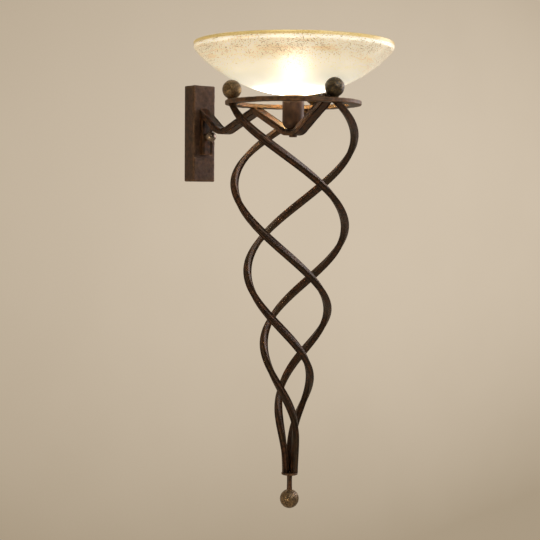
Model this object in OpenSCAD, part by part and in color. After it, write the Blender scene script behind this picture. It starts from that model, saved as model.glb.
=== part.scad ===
// Torch sconce: a wall plate, a W-bent arm, a flat ring with three balls,
// a basket of three tapering spiral bars, and an open glass bowl with its lamp.
// Origin: centre of the wall plate's back face. Wall at Y = 0, room towards -Y, +Z up.

/* [Wall plate] */
// Width of the plate across the wall
plate_w = 58; // [48:1:80]
// Height of the plate
plate_h = 212; // [180:1:260]
// How far the plate stands off the wall
plate_d = 35; // [24:1:45]
// Sheet thickness of the plate
plate_wall = 2.5; // [1.5:0.25:4]
// Rounding of the plate's outer edges
plate_round = 3; // [2:0.5:6]

/* [Wall fixing] */
// Width of the strap that is screwed to the wall box
strap_w = 22; // [18:1:30]
// Length of the strap
strap_l = 112; // [104:1:130]
// Thickness of the strap
strap_t = 2.5; // [2:0.25:4]
// Distance between the strap's two screw holes
strap_hole_gap = 88.9; // [80:0.1:92]
// Diameter of the strap's screw holes
strap_hole_d = 4.8; // [4:0.1:5.5]
// Diameter of the threaded stud that carries the fixture
stud_d = 9.7; // [8:0.1:11]
// How far the stud lies below the plate's centre
stud_drop = 7; // [0:1:20]
// Diameter of the ball nut in front of the arm
ball_nut_d = 23.5; // [18:0.5:28]
// Length of the collar between the ball nut and the arm
ball_nut_collar = 2; // [1:0.5:9]

/* [Arm] */
// Distance from the wall to the upright axis of ring, basket and bowl
reach = 344; // [320:1:380]
// Width of the arm's flat bar
arm_w = 25; // [20:0.5:30]
// Thickness of the arm's flat bar
arm_t = 12; // [8:0.5:13]
// Distance from the stud down to the lower end of the arm
tab_below = 40; // [20:1:60]
// Height of the arm's top corner above the ring's underside
arm_rise = 7.5; // [0:0.5:20]
// Distance from the wall to the arm's first dip
dip_out = 111; // [100:1:125]
// Distance from the wall to the arm's crest under the ring
crest_out = 224; // [216:1:228]
// Depth of the first dip's underside below the ring's underside
dip_drop = 51; // [44:1:58]
// Centre-line radius of the bend in the first dip
dip_bend_r = 44; // [25:1:50]
// Centre-line radius of the bend at the crest under the ring
crest_bend_r = 14; // [8:1:25]
// Centre-line radius of the two bends beside the cup's seat
seat_bend_r = 25; // [15:1:35]
// Length of the flat seat under the cup
seat_l = 18; // [14:1:24]
// Height of the arm's tip above the ring's top
tip_above = 9; // [4:1:14]

/* [Ring and balls] */
// Height of the ring's underside above the plate's centre
ring_z = 47.5; // [30:0.5:70]
// Outer diameter of the ring
ring_d = 275; // [250:1:300]
// Width of the ring's flat band
ring_band = 25.5; // [20:0.5:32]
// Thickness of the ring
ring_t = 8.5; // [6:0.5:11]
// Diameter of the three balls on the ring
ball_d = 38.5; // [32:0.5:42]
// Height of the neck under each ball
ball_neck = 1.5; // [1:0.25:4]

/* [Spiral basket] */
// Side of the basket's square bars
bar = 12; // [10:0.5:13]
// Height of the basket, from the ring's underside to the tip disc
basket_h = 749; // [600:1:850]
// Turn of each bar from ring to tip, in degrees
basket_turn_deg = 546; // [360:1:660]
// How far the turn lags behind a steady one half way down, in degrees
turn_lag_deg = 26.7; // [0:0.1:40]
// How far each bar starts past its ball, in degrees
start_lead_deg = 3; // [0:0.5:6]
// How long the basket stays wide before it narrows
taper_hold = 2.19; // [1.6:0.01:3]
// How softly the basket narrows towards the tip
taper_soft = 1.79; // [1.4:0.01:2.4]

/* [Tip] */
// How far the disc reaches past the bars' outer corners
disc_rim = 0.5; // [0.5:0.5:4]
// Thickness of that disc
disc_t = 5; // [3:0.5:8]
// Diameter of the stem below the disc
stem_d = 11; // [8:0.1:12]
// Visible length of the stem
stem_l = 31; // [15:1:40]
// Diameter of the ball at the tip
tip_ball_d = 39; // [30:0.5:46]

/* [Cup and lamp socket] */
// Diameter of the cup under the bowl
cup_d = 44; // [43:0.5:50]
// Sheet thickness of the cup
cup_wall = 1.3; // [0.8:0.1:1.5]
// Depth of the cup's bottom below the ring's underside
cup_drop = 48.5; // [44:0.5:54]
// Bend radius of the cup's bottom, on its centre line
cup_round = 13; // [6:0.5:13]
// Diameter of the threaded nipple through cup and arm
nipple_d = 9.7; // [8:0.1:11]
// Diameter of the porcelain lamp socket
socket_d = 40; // [38.5:0.5:40.5]
// Depth of the socket's well
socket_well = 31; // [29.5:0.5:36]
// Diameter of the socket's screw shell, outside
shell_d = 28; // [27.8:0.1:30]
// Sheet thickness of the screw shell
shell_wall = 0.6; // [0.4:0.1:0.7]

/* [Glass bowl] */
// Diameter of the bowl at its rim
bowl_d = 402.5; // [380:0.5:420]
// Outer radius of the bowl's round bottom
bowl_sphere_r = 268; // [250:1:300]
// Height of the bowl's rim above the ring's underside
bowl_rise = 124.5; // [118:0.5:130]
// Thickness of the glass
glass_t = 5; // [4:0.25:6]
// Centre-line radius of the turn just under the rim
lip_bend_r = 10; // [4:0.5:12]
// Outer diameter of the ring nut that holds the glass
shade_ring_d = 56; // [50:0.5:62]
// Height of that ring nut
shade_ring_h = 6; // [4:0.5:8]
// Thickness of the gasket under the glass
gasket_t = 1.5; // [1:0.25:2]

/* [Lamp bulb] */
// Diameter of the bulb's screw base over its thread
base_d = 26; // [25:0.1:26.2]
// Height of the bulb's screw base
base_h = 23.5; // [20:0.5:25]
// Largest diameter of the bulb's glass
bulb_d = 60; // [50:1:64]
// Overall length of the bulb
bulb_l = 106; // [100:1:112]
// Diameter of the bulb's neck
neck_d = 25; // [22:0.5:25.5]

/* [Hidden] */

$fn = 64;
// Steps along each bend of a bent strip
bend_steps = 8;
// Steps along the bowl's long curve
bowl_steps = 40;
// Rings along each spiral bar
bar_rings = 78;

// Clearances
thread_gap = 0.1;      // between a threaded piece and its nut
pass_gap = 0.4;        // around a stud that passes through a hole
rest_gap = 0.2;        // between two seated curved or unlike faces
glass_hole_gap = 1;    // around the socket in the bowl's hole
contact_gap = 0.3;     // under the bulb's foot contact

// Heights and radii that several pieces share
ring_r = ring_d/2;
ring_in_r = ring_r - ring_band;
ring_mid_r = ring_r - ring_band/2;
ring_top = ring_z + ring_t;
tab_front = plate_d + arm_t;
stud_z = -stud_drop;
disc_top = ring_z - basket_h;
disc_bottom = disc_top - disc_t;
edge_break = 0.1*bar;
tip_path_r = 0.81*bar;
disc_d = 2*(norm([tip_path_r + bar/2, bar/2 - edge_break]) + disc_rim);
tip_ball_z = disc_bottom - stem_l - tip_ball_d/2;
cup_bottom = ring_z - cup_drop;
seat_mid = cup_bottom - arm_t/2;
seat_under = cup_bottom - arm_t;

// Balls and bars stand a third of a turn apart, the first straight out from the wall
front_a = -90;
left_a = front_a - 120;
right_a = front_a + 120;

// Each ball stands on a short neck
ball_z = ring_top + ball_neck + ball_d/2 - 0.25;
ball_neck_d = 0.42*ball_d;

// The bowl rests on the three balls
bowl_centre_z = ball_z + sqrt(pow(bowl_sphere_r + ball_d/2 + rest_gap, 2) - pow(ring_mid_r, 2));
bowl_hole_r = socket_d/2 + glass_hole_gap;
bowl_mid_r = bowl_sphere_r - glass_t/2;
function under_bowl(r) = bowl_centre_z - sqrt(pow(bowl_sphere_r, 2) - r*r);
function over_bowl(r) = bowl_centre_z - sqrt(pow(bowl_sphere_r - glass_t, 2) - r*r);

// The cup ends a gasket below the glass, and the ring nut lies on it
gasket_top = under_bowl(bowl_hole_r) - rest_gap;
cup_top = gasket_top - gasket_t;
shade_ring_z = over_bowl(shade_ring_d/2) + rest_gap;
socket_top = shade_ring_z + shade_ring_h + 1;

// Nuts, measured across their flats
nut_af = 1.5*stud_d;
nut_h = 4;
socket_bottom = cup_bottom + cup_wall + nut_h + 4;
socket_thread = 8;     // how far the nipple enters the socket
cap_nut_d = 16;
cap_nut_h = 3.5;

// Lamp: from the foot contact up
well_floor = socket_top - socket_well;
contact_h = 2.5;
foot_z = well_floor + contact_h + contact_gap;
foot_h = 1.2;
insulator_h = 3;
base_z = foot_z + foot_h + insulator_h;
bulb_top = foot_z + bulb_l;

// Spiral basket: path of one bar, u from 0 at the ring to 1 at the tip
function basket_r(u) = tip_path_r + (ring_mid_r - tip_path_r)*pow(1 - pow(u, taper_hold), taper_soft);
function bar_turn(u) = basket_turn_deg*u - turn_lag_deg*pow(sin(180*u), 2);
function on_path(u) = let (a = bar_turn(u), r = basket_r(u)) [r*cos(a), r*sin(a), -basket_h*u];
function unit(v) = v/norm(v);
function along(u) = unit(on_path(min(1, u + 0.002)) - on_path(max(0, u - 0.002)));
function outward(u) = let (t = along(u), a = bar_turn(u), e = [cos(a), sin(a), 0]) unit(e - (e*t)*t);

// Corners of the bar's section: a square with its edges broken
section = let (h = bar/2, c = h - edge_break) [
    [h, c], [c, h], [-c, h], [-h, c], [-h, -c], [-c, -h], [c, -h], [h, -c]
];
sides = len(section);

// The section at u, slid along the bar onto a level plane at both ends
function levelled(p, t, z) = p + t*(z - p[2])/t[2];
function bar_ring(u) = let (t = along(u), n = outward(u), b = cross(t, n), c = on_path(u)) [
    for (q = section) let (p = c + q[0]*n + q[1]*b)
        u == 0 ? levelled(p, t, 0) : u == 1 ? levelled(p, t, -basket_h) : p
];
bar_points = [for (k = [0:bar_rings]) each bar_ring(k/bar_rings)];
bar_faces = concat(
    [[for (i = [0:sides - 1]) i]],
    [for (k = [0:bar_rings - 1], i = [0:sides - 1]) let (a = k*sides, j = (i + 1) % sides)
        each [[a + i, a + sides + i, a + sides + j], [a + i, a + sides + j, a + j]]],
    [[for (i = [sides - 1:-1:0]) bar_rings*sides + i]]
);

// Bent strips: a centre line of straights and bends, where a bend is
// [centre, radius, turn] and turn is 1 for a left turn and -1 for a right turn
function left_of(a) = [-sin(a), cos(a)];
function ahead(a) = [cos(a), sin(a)];
function heading(p, q) = let (d = q[0] - p[0])
    atan2(d[1], d[0]) - asin((q[2]*q[1] - p[2]*p[1])/norm(d));
function bend_side(b, a0, a1, h, steps) = [
    for (k = [0:steps]) b[0] - (b[2]*b[1] - h)*left_of(a0 + (a1 - a0)*k/steps)
];
function bends_side(first, bends, last, h, steps) = [
    for (i = [0:len(bends) - 1]) each bend_side(
        bends[i],
        i == 0 ? first : heading(bends[i - 1], bends[i]),
        i == len(bends) - 1 ? last : heading(bends[i], bends[i + 1]),
        h, steps)
];
function reversed(v) = [for (i = [len(v) - 1:-1:0]) v[i]];

// Arm, drawn in [distance from the wall, height]
dip_mid = ring_z - dip_drop + arm_t/2;
arm_bends = [
    [[dip_out, dip_mid + dip_bend_r], dip_bend_r, 1],
    [[crest_out, ring_z - arm_t/2 - crest_bend_r], crest_bend_r, -1],
    [[reach - seat_l/2, seat_mid + seat_bend_r], seat_bend_r, 1],
    [[reach + seat_l/2, seat_mid + seat_bend_r], seat_bend_r, 1]
];
// The wall tab and the first leg meet in a sharp corner
tab_foot = stud_z - tab_below;
outer_corner = [plate_d, ring_z + arm_rise];
leg_heading = heading([outer_corner, arm_t/2, 1], arm_bends[0]);
leg_under = outer_corner - arm_t*left_of(leg_heading);
inner_corner = leg_under + (tab_front - leg_under[0])/cos(leg_heading)*ahead(leg_heading);
// Where the underside of the arm's tip meets the ring's inner edge
tip_foot = [reach + ring_in_r, ring_top - 1];
seat_out = arm_bends[len(arm_bends) - 1];
tip_heading = heading([seat_out[0], seat_out[1] + arm_t/2, 1], [tip_foot, 0, 1]);
// The tip is drawn this far past that point before it is cut
tip_run = 30;
tip_under = tip_foot + tip_run*ahead(tip_heading);
tip_over = tip_under + arm_t*left_of(tip_heading);

// Bowl, drawn in [radius, height]
lip_r = bowl_d/2 - glass_t/2;
lip_c = lip_r - lip_bend_r;
lip_z = bowl_centre_z - sqrt(pow(bowl_mid_r - lip_bend_r, 2) - lip_c*lip_c);
lip_turn = asin(lip_c/(bowl_mid_r - lip_bend_r));
hole_turn = asin(bowl_hole_r/bowl_mid_r);
rim_round = glass_t/2;
bowl_rim_z = max(ring_z + bowl_rise, lip_z + rim_round);
// How far a cutting tool reaches past what it cuts
cut_past = 5;

// Tools ---------------------------------------------------------------

// Turns a side view drawn in [distance from the wall, height] into a bar w wide
module across(w) {
    rotate([0, 0, -90]) rotate([90, 0, 0]) linear_extrude(w, center = true) children();
}

// Stands a piece drawn along +Z on the wall at height z, pointing into the room
module from_wall(z) {
    translate([0, 0, z]) rotate([90, 0, 0]) children();
}

module on_axis() {
    translate([0, -reach, 0]) children();
}

module rounded_rect(w, h, r) {
    square([w - 2*r, h], center = true);
    square([w, h - 2*r], center = true);
    for (x = [-1, 1], y = [-1, 1]) translate([x*(w/2 - r), y*(h/2 - r)]) circle(r);
}

// Rounded only at its far end: the side view of a shallow box lying on the wall
module rounded_end(w, d, r) {
    translate([-w/2, 0]) square([w, d - r]);
    translate([-w/2 + r, 0]) square([w - 2*r, d]);
    for (x = [-1, 1]) translate([x*(w/2 - r), d - r]) circle(r);
}

// A box w x h x d lying on the plane z = 0, with round corners and front edges
module soft_box(w, h, d, r) {
    intersection() {
        linear_extrude(d) rounded_rect(w, h, r);
        rotate([90, 0, 0]) linear_extrude(h, center = true) rounded_end(w, d, r);
        rotate([90, 0, 90]) linear_extrude(w, center = true) rounded_end(h, d, r);
    }
}

module hex_nut(af, h, bore_d) {
    difference() {
        cylinder(d = af/cos(30), h = h, $fn = 6);
        translate([0, 0, -1]) cylinder(d = bore_d, h = h + 2);
    }
}

// A disc with its upper and lower edges broken by c
module soft_disc(r, h, c) {
    rotate_extrude() polygon([[0, 0], [r - c, 0], [r, c], [r, h - c], [r - c, h], [0, h]]);
}

// Pieces --------------------------------------------------------------

module wall_plate() {
    color([0.24, 0.15, 0.10]) difference() {
        from_wall(0) soft_box(plate_w, plate_h, plate_d, plate_round);
        from_wall(0) translate([0, 0, -1])
            linear_extrude(plate_d - plate_wall + 1)
                rounded_rect(plate_w - 2*plate_wall, plate_h - 2*plate_wall, plate_round - 1);
        from_wall(stud_z) cylinder(d = stud_d + 2*pass_gap, h = plate_d + 1);
    }
}

module mounting_strap() {
    color([0.72, 0.72, 0.70]) from_wall(stud_z) difference() {
        linear_extrude(strap_t) rounded_rect(strap_w, strap_l, 4);
        translate([0, 0, -1]) cylinder(d = stud_d + 2*thread_gap, h = strap_t + 2);
        for (s = [-1, 1]) translate([0, s*strap_hole_gap/2, -1])
            cylinder(d = strap_hole_d, h = strap_t + 2);
        translate([0, -ground_off, -1]) cylinder(d = ground_d + 2*thread_gap, h = strap_t + 2);
    }
}

// Earth screw, below the stud
ground_off = strap_hole_gap/4;
ground_d = 4;
module ground_screw() {
    color([0.13, 0.42, 0.20]) from_wall(stud_z) translate([0, -ground_off, 0]) {
        cylinder(d = ground_d, h = strap_t);
        translate([0, 0, strap_t]) soft_disc(ground_d, 2.6, 0.6);
    }
}

module mounting_stud() {
    color([0.75, 0.68, 0.42]) from_wall(stud_z)
        cylinder(d = stud_d, h = tab_front + ball_nut_collar + ball_nut_d/2);
}

module stud_lock_nut() {
    color([0.75, 0.68, 0.42]) from_wall(stud_z) translate([0, 0, strap_t])
        hex_nut(nut_af, nut_h, stud_d + 2*thread_gap);
}

module ball_nut() {
    ball_out = tab_front + ball_nut_collar + ball_nut_d/2 - 1;
    color([0.42, 0.36, 0.27]) from_wall(stud_z) difference() {
        union() {
            translate([0, 0, ball_out]) sphere(d = ball_nut_d);
            translate([0, 0, tab_front]) cylinder(d = 0.66*ball_nut_d, h = ball_nut_collar + 2);
        }
        translate([0, 0, tab_front - 1])
            cylinder(d = stud_d + 2*thread_gap, h = ball_nut_collar + ball_nut_d/2 + 1.5);
    }
}

module arm_bar() {
    outline = concat(
        [[plate_d, tab_foot], outer_corner],
        bends_side(leg_heading, arm_bends, tip_heading, arm_t/2, bend_steps),
        [tip_over, tip_under],
        reversed(bends_side(leg_heading, arm_bends, tip_heading, -arm_t/2, bend_steps)),
        [inner_corner, [tab_front, tab_foot]]
    );
    color([0.26, 0.16, 0.10]) difference() {
        across(arm_w) polygon(outline);
        // The tip is cut to the ring's inner edge, level on top, and round the ball
        on_axis() translate([0, 0, ring_z]) difference() {
            translate([-arm_w, -2*ring_r, 0]) cube([2*arm_w, 2*ring_r, 3*ring_t]);
            translate([0, 0, -1]) cylinder(r = ring_in_r - rest_gap, h = 3*ring_t + 2, $fn = 128);
        }
        on_axis() translate([-arm_w, -2*ring_r, ring_top + tip_above])
            cube([2*arm_w, 2*ring_r, 3*ring_t]);
        on_axis() rotate(front_a) translate([ring_mid_r, 0, ball_z])
            sphere(d = ball_d + 2*rest_gap);
        from_wall(stud_z) translate([0, 0, plate_d - 1])
            cylinder(d = stud_d + 2*pass_gap, h = arm_t + 2);
        on_axis() translate([0, 0, seat_under - 1])
            cylinder(d = nipple_d + 2*pass_gap, h = arm_t + 2);
    }
}

module support_ring() {
    c = 1.2;
    color([0.27, 0.17, 0.11]) on_axis() translate([0, 0, ring_z]) rotate_extrude($fn = 128)
        polygon([
            [ring_in_r, c], [ring_in_r + c, 0], [ring_r - c, 0], [ring_r, c],
            [ring_r, ring_t - c], [ring_r - c, ring_t], [ring_in_r + c, ring_t], [ring_in_r, ring_t - c]
        ]);
}

module ring_ball(a) {
    color([0.33, 0.30, 0.23]) on_axis() rotate(a) translate([ring_mid_r, 0, 0]) {
        translate([0, 0, ball_z]) sphere(d = ball_d);
        translate([0, 0, ring_top]) cylinder(d = ball_neck_d, h = ball_neck + 2);
    }
}

module ring_ball_front() { ring_ball(front_a); }
module ring_ball_left() { ring_ball(left_a); }
module ring_ball_right() { ring_ball(right_a); }

module spiral_bar(a) {
    color([0.25, 0.16, 0.11]) on_axis() translate([0, 0, ring_z]) rotate(a + start_lead_deg)
        polyhedron(bar_points, bar_faces, convexity = 10);
}

module spiral_bar_front() { spiral_bar(front_a); }
module spiral_bar_left() { spiral_bar(left_a); }
module spiral_bar_right() { spiral_bar(right_a); }

module tip_disc() {
    color([0.23, 0.16, 0.12]) on_axis() translate([0, 0, disc_bottom]) difference() {
        soft_disc(disc_d/2, disc_t, 1);
        translate([0, 0, -1]) cylinder(d = stem_d + 2*thread_gap, h = disc_t + 2);
    }
}

// The stem is screwed through the disc and half a radius into the ball
stem_in = tip_ball_d/3;
module tip_stem() {
    foot = disc_bottom - stem_l - stem_in;
    color([0.22, 0.15, 0.12]) on_axis() translate([0, 0, foot])
        cylinder(d = stem_d, h = disc_top - foot);
}

module tip_ball() {
    color([0.33, 0.30, 0.23]) on_axis() difference() {
        translate([0, 0, tip_ball_z]) sphere(d = tip_ball_d);
        translate([0, 0, disc_bottom - stem_l - stem_in - 0.5])
            cylinder(d = stem_d + 2*thread_gap, h = stem_in + 2);
    }
}

module socket_cup() {
    cup_r = cup_d/2;
    hole_r = nipple_d/2 + pass_gap;
    bend = [[cup_r - cup_wall/2 - cup_round, cup_bottom + cup_wall/2 + cup_round], cup_round, 1];
    color([0.30, 0.18, 0.12]) on_axis() rotate_extrude() polygon(concat(
        [[hole_r, cup_bottom]],
        bend_side(bend, 0, 90, -cup_wall/2, bend_steps),
        [[cup_r, cup_top], [cup_r - cup_wall, cup_top]],
        reversed(bend_side(bend, 0, 90, cup_wall/2, bend_steps)),
        [[hole_r, cup_bottom + cup_wall]]
    ));
}

module cup_nipple() {
    foot = seat_under - cap_nut_h + 1;
    color([0.75, 0.68, 0.42]) on_axis() translate([0, 0, foot])
        cylinder(d = nipple_d, h = socket_bottom + socket_thread - foot);
}

module nipple_cap_nut() {
    color([0.15, 0.10, 0.08]) on_axis() difference() {
        translate([0, 0, seat_under - cap_nut_h]) soft_disc(cap_nut_d/2, cap_nut_h, 0.8);
        translate([0, 0, seat_under - cap_nut_h + 0.8])
            cylinder(d = nipple_d + 2*thread_gap, h = cap_nut_h);
    }
}

module cup_lock_nut() {
    color([0.75, 0.68, 0.42]) on_axis() translate([0, 0, cup_bottom + cup_wall])
        hex_nut(1.5*nipple_d, nut_h, nipple_d + 2*thread_gap);
}

module socket_body() {
    r = socket_d/2;
    well_r = shell_d/2 + rest_gap;
    waist_top = socket_bottom + 12;
    thread_foot = waist_top + 4;
    color([0.93, 0.91, 0.86]) on_axis() difference() {
        rotate_extrude() polygon([
            [0, socket_bottom], [r - 6, socket_bottom], [r - 3, socket_bottom + 3],
            [r - 3, waist_top], [r, thread_foot],
            [r, socket_top - 1], [r - 1, socket_top], [0, socket_top]
        ]);
        translate([0, 0, well_floor]) cylinder(r = well_r, h = socket_well + 1);
        translate([0, 0, socket_bottom - 1])
            cylinder(d = nipple_d + 2*thread_gap, h = socket_thread + 1.5);
    }
}

// Screw shell: a sleeve with a foot flange that lies on the floor of the well
module socket_shell() {
    r = shell_d/2;
    color([0.80, 0.62, 0.30]) on_axis() rotate_extrude() polygon([
        [r - 5, well_floor], [r, well_floor], [r, socket_top - 2],
        [r - shell_wall, socket_top - 2], [r - shell_wall, well_floor + shell_wall],
        [r - 5, well_floor + shell_wall]
    ]);
}

// Centre contact: a rivet and a raised tongue under the bulb's foot
module socket_contact() {
    tongue_w = 6;
    tongue_t = 0.6;
    color([0.85, 0.70, 0.35]) on_axis() translate([0, 0, well_floor]) {
        cylinder(d = 5, h = contact_h - tongue_t);
        translate([-tongue_w/2, -tongue_w/2, contact_h - tongue_t])
            cube([tongue_w, tongue_w, tongue_t]);
    }
}

module cup_gasket() {
    color([0.85, 0.83, 0.78]) on_axis() translate([0, 0, cup_top]) difference() {
        cylinder(d = cup_d, h = gasket_t);
        translate([0, 0, -1]) cylinder(r = bowl_hole_r - rest_gap, h = gasket_t + 2);
    }
}

module glass_bowl() {
    outline = concat(
        [for (k = [0:bowl_steps]) let (a = hole_turn + (lip_turn - hole_turn)*k/bowl_steps)
            [bowl_sphere_r*sin(a), bowl_centre_z - bowl_sphere_r*cos(a)]],
        bend_side([[lip_c, lip_z], lip_bend_r, 1], lip_turn, 90, -glass_t/2, bend_steps),
        [for (a = [0:30:180]) [lip_r, bowl_rim_z - rim_round] + rim_round*ahead(a)],
        reversed(bend_side([[lip_c, lip_z], lip_bend_r, 1], lip_turn, 90, glass_t/2, bend_steps)),
        [for (k = [bowl_steps:-1:0]) let (a = hole_turn + (lip_turn - hole_turn)*k/bowl_steps)
            [(bowl_sphere_r - glass_t)*sin(a), bowl_centre_z - (bowl_sphere_r - glass_t)*cos(a)]]
    );
    color([0.95, 0.85, 0.62, 0.8]) on_axis() difference() {
        rotate_extrude($fn = 128) polygon(outline);
        translate([0, 0, under_bowl(0) - cut_past])
            cylinder(r = bowl_hole_r, h = over_bowl(bowl_hole_r) - under_bowl(0) + 2*cut_past);
    }
}

// Ring nut with six grip notches
module shade_ring() {
    notch_d = 5;
    color([0.78, 0.78, 0.76]) on_axis() translate([0, 0, shade_ring_z]) difference() {
        soft_disc(shade_ring_d/2, shade_ring_h, 0.8);
        translate([0, 0, -1]) cylinder(r = socket_d/2 + thread_gap, h = shade_ring_h + 2);
        for (a = [0:60:300]) rotate(a) translate([shade_ring_d/2, 0, -1])
            cylinder(d = notch_d, h = shade_ring_h + 2);
    }
}

module bulb_contact() {
    color([0.75, 0.72, 0.66]) on_axis() translate([0, 0, foot_z]) soft_disc(4.8, foot_h, 0.5);
}

module bulb_insulator() {
    color([0.10, 0.09, 0.12]) on_axis() translate([0, 0, foot_z + foot_h])
        rotate_extrude() polygon([[0, 0], [5.5, 0], [base_d/2 - 3, insulator_h], [0, insulator_h]]);
}

// Screw base: a thin shell, open above where the neck stands in it
module bulb_base() {
    r = base_d/2;
    wall = 0.4;
    color([0.80, 0.80, 0.78]) on_axis() translate([0, 0, base_z]) rotate_extrude() polygon([
        [0, 0], [r - 3, 0], [r, 3], [r, base_h], [r - wall, base_h],
        [r - wall, 3 + wall], [r - 3, wall], [0, wall]
    ]);
}

// Bulb outline, drawn in [radius, height]: neck, shoulder and crown
bulb_wall = 0.8;
crown_z = bulb_top - bulb_d/2;
neck_z = base_z + base_h - 4;
shoulder_steps = 12;
function shoulder(k) = let (u = k/shoulder_steps, s = u*u*(3 - 2*u))
    [neck_d/2 + (bulb_d/2 - neck_d/2)*s, neck_z + 6 + (crown_z - neck_z - 6)*u];
function bulb_outline(inset) = concat(
    [[0, neck_z + inset], [neck_d/2 - inset, neck_z + inset]],
    [for (k = [0:shoulder_steps]) shoulder(k) - [inset, 0]],
    [for (a = [7.5:7.5:90]) [0, crown_z] + (bulb_d/2 - inset)*[cos(a), sin(a)]]
);
module bulb_glass() {
    color([0.97, 0.96, 0.92, 0.8]) on_axis() rotate_extrude() difference() {
        polygon(bulb_outline(0));
        polygon(bulb_outline(bulb_wall));
    }
}

// Glass mount inside the bulb, with the filament on its two leads
mount_h = 34;
mount_z = neck_z + bulb_wall;
module bulb_stem() {
    color([0.90, 0.92, 0.92]) on_axis() translate([0, 0, mount_z])
        rotate_extrude() polygon([[0, 0], [8, 0], [4, 10], [3, mount_h], [0, mount_h]]);
}

// Filament: an arc of coiled wire held between the ends of two splayed leads
arc_r = 11;
arc_lift = 12;
lead_foot = 1.5;
wire_d = 1;
module bulb_filament() {
    lead_rise = arc_lift - wire_d/2;
    lean = atan2(arc_r - lead_foot, lead_rise);
    color([0.95, 0.75, 0.35]) on_axis() translate([0, 0, mount_z + mount_h]) {
        translate([0, 0, arc_lift]) rotate([90, 0, 0])
            rotate_extrude(angle = 180) translate([arc_r, 0]) circle(d = wire_d, $fn = 24);
        for (s = [-1, 1]) translate([s*lead_foot, 0, wire_d/2]) rotate([0, s*lean, 0])
            cylinder(d = wire_d, h = lead_rise/cos(lean), $fn = 24);
        for (s = [-1, 1]) translate([s*arc_r, 0, arc_lift]) sphere(d = 1.2*wire_d, $fn = 24);
        cylinder(r = lead_foot + wire_d/2, h = wire_d, $fn = 24);
    }
}

wall_plate();
mounting_strap();
ground_screw();
mounting_stud();
stud_lock_nut();
ball_nut();
arm_bar();
support_ring();
ring_ball_front();
ring_ball_left();
ring_ball_right();
spiral_bar_front();
spiral_bar_left();
spiral_bar_right();
tip_disc();
tip_stem();
tip_ball();
socket_cup();
cup_nipple();
nipple_cap_nut();
cup_lock_nut();
socket_body();
socket_shell();
socket_contact();
cup_gasket();
glass_bowl();
shade_ring();
bulb_contact();
bulb_insulator();
bulb_base();
bulb_glass();
bulb_stem();
bulb_filament();
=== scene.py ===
"""Looks of a torch wall sconce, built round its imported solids.

The sconce is a hammered wall plate, a flat bar bent into a W, a ring with three
balls, a tapering basket of three spiral bars and an open glass bowl with its lamp.
Everything is in metres in the row frame: the wall is the plane Y = 0, the room lies
towards -Y, and +Z is up.
"""

import logging
import math
from dataclasses import dataclass
from enum import Enum
from functools import lru_cache
from typing import Callable, Iterable, Protocol, Sequence

import bmesh
import bpy
from mathutils import Matrix, Vector, noise


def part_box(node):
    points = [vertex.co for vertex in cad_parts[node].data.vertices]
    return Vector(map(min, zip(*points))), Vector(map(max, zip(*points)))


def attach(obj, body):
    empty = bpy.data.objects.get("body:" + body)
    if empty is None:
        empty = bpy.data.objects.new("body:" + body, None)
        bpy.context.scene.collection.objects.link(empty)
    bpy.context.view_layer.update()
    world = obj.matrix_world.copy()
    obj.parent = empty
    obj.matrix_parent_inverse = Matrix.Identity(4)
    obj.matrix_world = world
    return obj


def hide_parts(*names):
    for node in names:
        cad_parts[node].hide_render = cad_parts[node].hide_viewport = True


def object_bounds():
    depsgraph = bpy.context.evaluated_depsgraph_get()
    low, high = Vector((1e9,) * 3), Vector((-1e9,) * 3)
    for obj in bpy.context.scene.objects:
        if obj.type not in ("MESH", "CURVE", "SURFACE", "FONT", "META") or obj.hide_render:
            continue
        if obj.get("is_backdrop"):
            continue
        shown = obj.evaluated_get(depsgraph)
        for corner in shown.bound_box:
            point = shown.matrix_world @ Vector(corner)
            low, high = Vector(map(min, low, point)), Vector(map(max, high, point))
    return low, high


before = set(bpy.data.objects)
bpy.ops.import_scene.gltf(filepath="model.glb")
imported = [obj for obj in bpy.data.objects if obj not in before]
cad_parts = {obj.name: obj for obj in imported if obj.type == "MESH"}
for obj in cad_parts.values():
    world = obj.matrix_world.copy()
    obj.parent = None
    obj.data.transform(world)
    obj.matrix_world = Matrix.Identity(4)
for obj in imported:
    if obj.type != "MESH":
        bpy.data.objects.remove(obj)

LOG = logging.getLogger("torch_sconce")
FULL_TURN = 2.0 * math.pi
WEAR = "wear"
WEAR_KEPT = 0.86
IN_PLACE = Matrix.Identity(4)
BALL_PLACES = (("front", 0.0), ("left", -120.0), ("right", 120.0))

Point2 = tuple[float, float]
Colour = tuple[float, float, float]
Outline = list[Point2]
Mesh = bmesh.types.BMesh
Faces = list[bmesh.types.BMFace]
Socket = bpy.types.NodeSocket
Source = bpy.types.NodeSocket | float | Sequence[float]


class Body(Enum):
    """The bodies that rebuilt pieces ride on."""

    FIXTURE = "fixture"
    BULB = "bulb"


class Slot(Enum):
    """The record's material slots."""

    RUST_IRON = "rust_iron"
    PATINA_IRON = "patina_iron"
    CUP_IRON = "cup_iron"
    ZINC_STEEL = "zinc_steel"
    GROUND_GREEN = "ground_green"
    BRASS = "brass"
    PORCELAIN = "porcelain"
    GASKET_FELT = "gasket_felt"
    AMBER_GLASS = "amber_glass"
    WHITE_STEEL = "white_steel"
    SOLDER = "solder"
    BULB_INSULATOR = "bulb_insulator"
    BULB_METAL = "bulb_metal"
    BULB_FROST = "bulb_frost"
    BULB_MOUNT_GLASS = "bulb_mount_glass"
    FILAMENT = "filament"


def unit(value: float) -> float:
    """Keeps a number between 0 and 1."""
    return min(1.0, max(0.0, value))


# Node trees -----------------------------------------------------------------


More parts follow.
